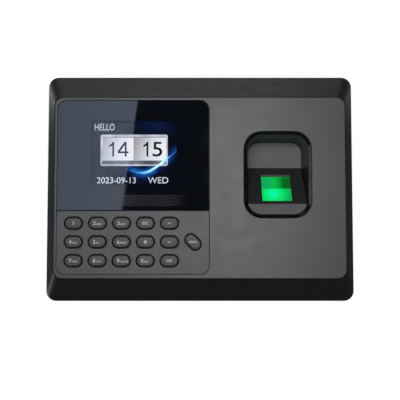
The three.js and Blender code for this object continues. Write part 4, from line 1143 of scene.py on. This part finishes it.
def reader_housing():
    """Cup of the well, with a polished chamfer round its mouth and an opening for the optics."""
    flange_back = ledge_out - HOUSING_FLANGE_THICKNESS
    outer = outline(well, WELL_CORNER)
    flange = outline(well.grow(HOUSING_FLANGE), WELL_CORNER + HOUSING_FLANGE)
    levels = [(outer, housing_back), (outer, flange_back), (flange, flange_back), (flange, ledge_out)]
    levels += [(outer, ledge_out), (outer, body_out - 0.15)]
    rounded = [(0.15, 0.0), (0.32, 0.06), (0.45, 0.18)]
    rounded += [(CHAMFER - 0.3, CHAMFER - 0.57), (CHAMFER - 0.1, CHAMFER - 0.3)]
    for inset, depth in rounded:
        levels.append((outline(well.grow(-inset), WELL_CORNER - inset), body_out - depth))
    levels += [well_level(mouth_out, 0), well_level(housing_floor, 0)]
    mesh = bmesh.new()
    rings = loft(mesh, levels)
    per_ring = len(outer)
    mesh.faces.ensure_lookup_table()
    for face_ring in range(5, 10):
        for polygon in mesh.faces[face_ring * per_ring : (face_ring + 1) * per_ring]:
            polygon.material_index = 1
    optics_z = (block_box.bottom + foot_z) / 2 - OPTICS_DROP
    opening = around(well.middle()[0], optics_z, OPTICS_WIDTH, OPTICS_HEIGHT)
    hole = loft(mesh, [(outline(opening, 1.0), out) for out in (housing_back, housing_floor)])
    fill(mesh, [rings[0], hole[0]])
    fill(mesh, [rings[-1], hole[1]])
    materials = [cup_black(), gloss_black]
    make("reader_housing_cup", mesh, materials, ["reader_housing"], smooth=math.radians(40))


def across_well(section, left=well.left, right=well.right):
    """A prism across the well whose section is given as (z, out) points."""
    mesh = bmesh.new()
    rings = [[mesh.verts.new(place(x, z, out)) for z, out in section] for x in (left, right)]
    skin(mesh, rings[0], rings[1])
    mesh.faces.new(rings[0])
    mesh.faces.new(rings[1])
    return mesh


def in_well(name, section, material, node, soften):
    """A prism across the well, cut to the well's own outline."""
    piece = make(name, across_well(section), [material], [node], soften=soften)
    hollow = bmesh.new()
    rings = loft(hollow, [well_level(housing_floor, GAP), well_level(mouth_out, GAP)])
    hollow.faces.new(rings[0])
    hollow.faces.new(rings[1])
    combine(piece, loose("well_hollow", hollow), "INTERSECT")
    piece.data.shade_smooth()


def window_rim():
    """Ground edge of the window, nearly black, with a green cast that drifts a little."""
    nodes = Nodes("window_rim")
    base = nodes.ramp(nodes.noise(90.0), [(0.3, srgb(2, 12, 6)), (0.7, srgb(3, 18, 9))])
    grind = nodes.range(nodes.noise(240.0), 0, 1, 0.5, 0.7)
    return nodes.set(Base_Color=base, Roughness=grind, Specular_IOR_Level=0.0).material


def window_light():
    """Green light under the window: bright at its foot, dimmer above, dark at the upper right."""
    nodes = Nodes("window_light")
    x, z = nodes.axes()
    middle = well.middle()[0]
    low_z = on_slope(WINDOW_FROM_CREST, 0)[0]
    high_z = on_slope(WINDOW_FROM_CREST + WINDOW_LENGTH, 0)[0]
    across = nodes.range(x, middle - LIGHT_HALF, middle + LIGHT_HALF)
    up = nodes.range(z, low_z, high_z)
    spot_x = nodes.minus(across, 0.38)
    spot_z = nodes.times(nodes.minus(up, 0.27), 1.15)
    away = nodes.math("SQRT", nodes.plus(nodes.times(spot_x, spot_x), nodes.times(spot_z, spot_z)))
    spot_stops = [
        (0.0, srgb(0, 255, 196)),
        (0.12, srgb(0, 255, 160)),
        (0.30, srgb(6, 236, 112)),
        (0.60, srgb(10, 178, 78)),
    ]
    dim_stops = [
        (0.0, srgb(18, 172, 92)),
        (0.45, srgb(6, 190, 80)),
        (0.62, srgb(4, 160, 56)),
        (0.78, srgb(4, 100, 20)),
        (1.0, srgb(8, 92, 26)),
    ]
    streak = nodes.range(up, 0.86, 0.97, 0.0, 0.35)
    dim = nodes.blend(streak, nodes.ramp(across, dim_stops), srgb(60, 220, 110))
    glow = nodes.blend(nodes.range(up, 0.45, 0.48), nodes.ramp(away, spot_stops), dim)
    polish = nodes.range(nodes.noise(80.0), 0, 1, 0.03, 0.07)
    nodes.set(Base_Color=srgb(4, 60, 30), Roughness=polish, IOR=GLASS_IOR)
    return nodes.set(Emission_Color=glow, Emission_Strength=WINDOW_STRENGTH).material


def reader_window():
    """Glass prism: dark ground edge, lit field, and a frosted bevel at its upper end."""
    start = WINDOW_FROM_CREST
    end = start + WINDOW_LENGTH
    section = [
        on_slope(start + PRISM_TAPER, PRISM_DEPTH),
        on_slope(end - PRISM_TAPER, PRISM_DEPTH),
        on_slope(end, INCLINE_WALL),
        on_slope(end, WINDOW_SUNK + WINDOW_BEVEL),
        on_slope(end - WINDOW_BEVEL, WINDOW_SUNK),
        on_slope(end - FROSTED_LENGTH, WINDOW_SUNK),
        on_slope(start, WINDOW_SUNK),
        on_slope(start, INCLINE_WALL),
    ]
    box = reach("reader_window")[0]
    mesh = across_well(section, box.left, box.right)
    mesh.faces.ensure_lookup_table()
    lit_face = mesh.faces[6]
    mesh.faces[4].material_index = 2
    mesh.faces[5].material_index = 2
    bmesh.ops.inset_region(mesh, faces=[lit_face], thickness=WINDOW_EDGE * MM, use_even_offset=True)
    lit_face.material_index = 1
    up_to_frost = WINDOW_EDGE - 0.1
    for vertex in sorted(lit_face.verts, key=lambda corner: corner.co.z)[-2:]:
        vertex.co += place(0, run * up_to_frost, -fall * up_to_frost)
    materials = [window_rim(), window_light(), moulded("window_frost", srgb(136, 142, 136), 0.5)]
    make("reader_window_prism", mesh, materials, ["reader_window"])


reader_housing()
refine("reader_block", block_black, 0.3)
reader_window()
in_well(
    "reader_floor_plate",
    [(foot_z + GAP, floor_back), (well.top, floor_back), (well.top, floor_out), (foot_z + GAP, floor_out)],
    well_grey,
    "reader_floor",
    0.2,
)
in_well(
    "reader_lip_ledge",
    [
        (well.bottom, lip_back),
        (crest_z - GAP, lip_back),
        (crest_z - GAP, crest_out),
        (well.bottom + CHAMFER, mouth_out),
        (well.bottom, mouth_out),
    ],
    lip_grey,
    "reader_lip",
    0.3,
)


# ---------------------------------------------------------------- screws

RECESS_TAPER = 0.7
THREAD_PITCH = 0.55
SMALL_SCREW = (1.2, 2.6, 1.8)  # radius of shank and head, and height of the head
LOCK_SCREW = (1.5, 3.0, 2.0)


def cross_recess(radius, depth):
    """A tapered cross that cuts the driver's recess, mouth at local zero."""
    mesh = bmesh.new()
    bar = radius * 0.3
    ring_points = []
    for i in range(4):
        turn = Matrix.Rotation(i * math.pi / 2, 2)
        for point in ((bar, -bar), (radius, -bar), (radius, bar)):
            ring_points.append(turn @ Vector(point))
    rings = []
    for share, along in ((1.1, -0.4), (1.0, 0.0), (RECESS_TAPER, depth)):
        points = [(point.x * share * MM, point.y * share * MM, along * MM) for point in ring_points]
        rings.append([mesh.verts.new(point) for point in points])
    for low, high in zip(rings, rings[1:]):
        skin(mesh, low, high)
    mesh.faces.new(rings[0])
    mesh.faces.new(rings[-1])
    return loose("recess", mesh)


def screw(node, shank, head, head_height, axis, seat, length):
    """A pan-head screw with its thread along an axis of the terminal, from the seat of its head."""
    section = [(0, -head_height), (head * 0.55, -head_height), (head * 0.85, -head_height * 0.86)]
    section += [(head * 0.98, -head_height * 0.5), (head, -head_height * 0.2), (head * 0.97, 0), (shank, 0)]
    along = 0.8
    while along < length - shank - THREAD_PITCH:
        section += [(shank * 0.82, along), (shank, along + THREAD_PITCH * 0.4)]
        along += THREAD_PITCH
    section += [(shank * 0.8, length - shank), (0, length)]
    mesh = bmesh.new()
    spin(mesh, section)
    piece = make(f"{node}_turned", mesh, [steel], [node])
    tool = cross_recess(head * 0.6, head_height * 0.7)
    tool.location.z = -head_height * MM
    combine(piece, tool, "DIFFERENCE")
    piece.data.shade_smooth()
    piece.data.set_sharp_from_angle(angle=SMOOTH_ANGLE)
    turn = Vector((0, 0, 1)).rotation_difference(Vector(axis)).to_matrix()
    piece.data.transform(Matrix.Translation(seat) @ turn.to_4x4())


def all_screws():
    shank, head, head_height = SMALL_SCREW
    for i in range(1, 5):
        box, back, front = reach(f"case_screw_{i}")
        seat = place(*box.middle(), back + head_height)
        screw(f"case_screw_{i}", shank, head, head_height, (0, -1, 0), seat, front - back - head_height)
        box, back, front = reach(f"board_screw_{i}")
        seat = place(*box.middle(), front - head_height)
        screw(f"board_screw_{i}", shank, head, head_height, (0, 1, 0), seat, front - back - head_height)
    shank, head, head_height = LOCK_SCREW
    box, back, front = reach("lock_screw")
    seat = place(box.middle()[0], box.bottom + head_height, (back + front) / 2)
    screw("lock_screw", shank, head, head_height, (0, 0, 1), seat, box.top - box.bottom - head_height)


all_screws()


# ---------------------------------------------------------------- speaker and sockets


def speaker():
    """Driver seen through the slots: basket, rolled surround, cone and cap, facing the wall."""
    box, back, front = reach("speaker")
    radius = (box.right - box.left) / 2
    shape = [(0, 1.0), (0.22, 1.3), (0.28, 1.7), (0.70, 0.7), (0.74, 0.35), (0.82, 0.12), (0.88, 0.4)]
    shape += [(0.90, 0.0), (1, 0.0), (1, 2.6), (0.62, 2.8), (0.60, front - back), (0, front - back)]
    section = [(radius * share, along) for share, along in shape]
    mesh = bmesh.new()
    spin(mesh, section, 48)
    turn = Vector((0, 0, 1)).rotation_difference(Vector((0, -1, 0))).to_matrix()
    seat = Matrix.Translation(place(*box.middle(), back))
    bmesh.ops.transform(mesh, matrix=seat @ turn.to_4x4(), verts=mesh.verts)
    make("speaker_driver", mesh, [cloth], ["speaker"])


def contacts(node, count, pitch, width, low, high, sunk, thickness, corner, steps):
    """A row of gold contacts in a socket, between two heights above its lower edge."""
    mesh = bmesh.new()
    box, _, front = reach(node)
    for i in range(count):
        x = box.middle()[0] + (i - (count - 1) / 2) * pitch
        strip = Box(x - width / 2, x + width / 2, box.bottom + low, box.bottom + high)
        slab(mesh, outline(strip, corner, steps=steps), front - sunk - thickness, front - sunk)
    make(f"{node}_contacts", mesh, [gold])


speaker()
contacts("network_socket", 8, 1.02, 0.4, 1.2, 9.0, 1.9, 0.4, corner=0.05, steps=1)
contacts("usb_socket", 4, 2.2, 1.0, 1.0, 8.5, 3.48, 0.1, corner=0.15, steps=2)
refine("network_socket", zinc, 0.15, "network_socket_shell")
refine("usb_socket", zinc, 0.12, "usb_socket_shell")
refine("power_jack", nylon, 0.2, "power_jack_body")


# ---------------------------------------------------------------- pieces kept as the CAD made them


def dress(node, material, soften):
    """Gives a CAD node its finish and, over its own mesh, softened edges."""
    piece = frame["nodes"][node]
    if not piece.material_slots:
        piece.data.materials.append(material)
    for slot in piece.material_slots:
        slot.material = material
    weld = piece.modifiers.new("weld", "WELD")
    weld.merge_threshold = 1e-6
    bevel = piece.modifiers.new("edge", "BEVEL")
    bevel.width = soften * MM
    bevel.segments = 2
    bevel.limit_method = "ANGLE"
    bevel.angle_limit = SMOOTH_ANGLE


for cad_node, finish, softness in (
    ("panel_frame", inner_plastic, 0.2),
    ("display_backlight", diffuser, 0.2),
    ("display_clamp", zinc, 0.1),
    ("display_ribbon", film, 0.05),
    ("key_mat", silicone, 0.15),
    ("keypad_board", board, 0.1),
    ("keypad_ribbon", film, 0.05),
    ("reader_lamp_board", board, 0.1),
    ("reader_ribbon", film, 0.05),
    ("sensor_board", board, 0.1),
    ("sensor_lens", nylon, 0.2),
    ("main_board", board, 0.1),
    ("processor", nylon, 0.15),
    ("coin_cell", steel, 0.3),
    ("coin_cell_holder", nylon, 0.2),
    ("speaker_gasket", foam, 0.2),
    ("speaker_lead", red_jacket, 0.05),
):
    dress(cad_node, finish, softness)


# ---------------------------------------------------------------- studio


def area_light(name, position, target, width, height, power, glossy=True, diffuse=True):
    """A soft light; one without gloss shows in no reflection."""
    data = bpy.data.lights.new(name, "AREA")
    data.shape = "RECTANGLE"
    data.size = width
    data.size_y = height
    data.energy = power
    light = bpy.data.objects.new(name, data)
    light.location = position
    aim = Vector(target) - Vector(position)
    light.rotation_euler = aim.to_track_quat("-Z", "Y").to_euler()
    light.visible_camera = False
    light.visible_glossy = glossy
    light.visible_transmission = glossy
    light.visible_diffuse = diffuse
    bpy.context.scene.collection.objects.link(light)
    return light


def stage_plane(name, corners, colours, low, high):
    """A flat stage card that shines from its left colour to its right one."""
    data = bpy.data.meshes.new(name)
    data.from_pydata(corners, [], [list(range(len(corners)))])
    card = bpy.data.objects.new(name, data)
    material = bpy.data.materials.new(name)
    material.use_nodes = True
    tree = material.node_tree
    tree.nodes.clear()
    coordinate = tree.nodes.new("ShaderNodeTexCoord")
    split = tree.nodes.new("ShaderNodeSeparateXYZ")
    spread = tree.nodes.new("ShaderNodeMapRange")
    spread.inputs["From Min"].default_value = low
    spread.inputs["From Max"].default_value = high
    ramp = tree.nodes.new("ShaderNodeValToRGB")
    for element, colour in zip(ramp.color_ramp.elements, colours):
        element.color = colour
    shine = tree.nodes.new("ShaderNodeEmission")
    output = tree.nodes.new("ShaderNodeOutputMaterial")
    tree.links.new(coordinate.outputs["Object"], split.inputs[0])
    tree.links.new(split.outputs["X"], spread.inputs["Value"])
    tree.links.new(spread.outputs[0], ramp.inputs["Fac"])
    tree.links.new(ramp.outputs["Color"], shine.inputs["Color"])
    tree.links.new(shine.outputs[0], output.inputs["Surface"])
    data.materials.append(material)
    bpy.context.scene.collection.objects.link(card)
    card.visible_diffuse = False
    card.visible_shadow = False
    return card


CAMERA_PLACE = Vector((0, -0.4516, -0.0346))
CAMERA_TILT = math.radians(3.6)
CAMERA_LENS = 64.8
CARD_DISTANCE = 0.6  # from the glass to the card that it mirrors


def mirrored(x, z):
    """Where the camera's view of a point on the glass goes on to, at the card's distance."""
    point = place(x, z, body_out)
    share = CARD_DISTANCE / (point.y - CAMERA_PLACE.y)
    return Vector(
        (
            point.x + (point.x - CAMERA_PLACE.x) * share,
            point.y - CARD_DISTANCE,
            point.z + (point.z - CAMERA_PLACE.z) * share,
        )
    )


def lights():
    """Soft frontal light, a softbox above, a strip at the left, and rim lights behind."""
    middle = (0, -0.03, 0)
    area_light("key_light", (-0.10, -1.05, 0.20), middle, 0.5, 0.4, 3.9, glossy=False)
    area_light("top_softbox", (-0.10, 0.12, 0.70), middle, 0.7, 0.36, 0.46)
    area_light("left_strip", (-0.70, -0.155, 0.09), (0.06, -0.036, 0.0), 0.09, 0.34, 0.14)
    area_light("back_light", (0.5, 0.9, 0.45), middle, 0.6, 0.6, 9.0, glossy=False)
    area_light("back_fill", (-0.6, 0.8, -0.1), middle, 0.6, 0.6, 4.0, glossy=False)
    area_light("back_glow", (0.0, 1.1, 0.1), middle, 0.5, 0.5, 2.0)
    area_light("left_rim_light", (-0.58, 0.75, 0.40), middle, 0.3, 0.3, 0.7)
    area_light("low_left_rim_light", (-0.52, 0.45, -0.28), middle, 0.16, 0.16, 0.2)
    area_light("right_rim_light", (0.58, 0.75, 0.40), middle, 0.3, 0.3, 0.2)
    sheen = mirrored(lens_box.right + 15, -2)
    area_light("sheen_strip", sheen, middle, 0.05, 0.36, 0.8, diffuse=False)


GLARE_TOP = 46.4  # right end of the glare on the glass, from the lens's left edge
GLARE_LOW = 37.5


def mirror_card():
    """Pale card that the left part of the glass mirrors, with a slanted right edge."""
    slant_top = mirrored(lens_box.left + GLARE_TOP, lens_box.top)
    slant_low = mirrored(lens_box.left + GLARE_LOW, lens_box.bottom)
    past = (slant_top - slant_low) * 0.25
    top = slant_top + past
    low = slant_low - past
    far = Vector((0.45, 0, 0))
    colours = (1.10, 1.30, 1.80, 1.0), (1.65, 1.95, 2.55, 1.0)
    card = stage_plane("mirror_card", [low, top, top - far, low - far], colours, -0.32, -0.12)
    card.visible_camera = False


def pale_floor():
    """White floor that the camera sees and nothing mirrors."""
    side = 12.0
    level = -0.3
    corners = [(-side, -side, level), (side, -side, level), (side, side, level), (-side, side, level)]
    white = (1, 1, 1, 1)
    stage_plane("floor", corners, (white, white), -side, side).visible_glossy = False


def world():
    """White behind the object; a dim bluish room in its reflections."""
    scene = bpy.context.scene
    scene.world = bpy.data.worlds.new("studio")
    scene.world.use_nodes = True
    tree = scene.world.node_tree
    ground = tree.nodes["Background"]
    path = tree.nodes.new("ShaderNodeLightPath")
    inner = tree.nodes.new("ShaderNodeMix")
    outer = tree.nodes.new("ShaderNodeMix")
    for node in (inner, outer):
        node.data_type = "RGBA"
    inner.inputs["A"].default_value = (0.055, 0.06, 0.07, 1)
    inner.inputs["B"].default_value = (0.16, 0.16, 0.17, 1)
    outer.inputs["B"].default_value = (1, 1, 1, 1)
    tree.links.new(path.outputs["Is Diffuse Ray"], inner.inputs["Factor"])
    tree.links.new(inner.outputs["Result"], outer.inputs["A"])
    tree.links.new(path.outputs["Is Camera Ray"], outer.inputs["Factor"])
    tree.links.new(outer.outputs["Result"], ground.inputs["Color"])


def camera():
    data = bpy.data.cameras.new("camera")
    data.lens = CAMERA_LENS
    data.sensor_width = 36.0
    data.clip_start = 0.01
    view = bpy.data.objects.new("camera", data)
    view.location = CAMERA_PLACE
    view.rotation_euler = (math.pi / 2 + CAMERA_TILT, 0, 0)
    bpy.context.scene.collection.objects.link(view)
    bpy.context.scene.camera = view


lights()
mirror_card()
pale_floor()
world()
camera()
bpy.context.scene.view_settings.view_transform = "Standard"
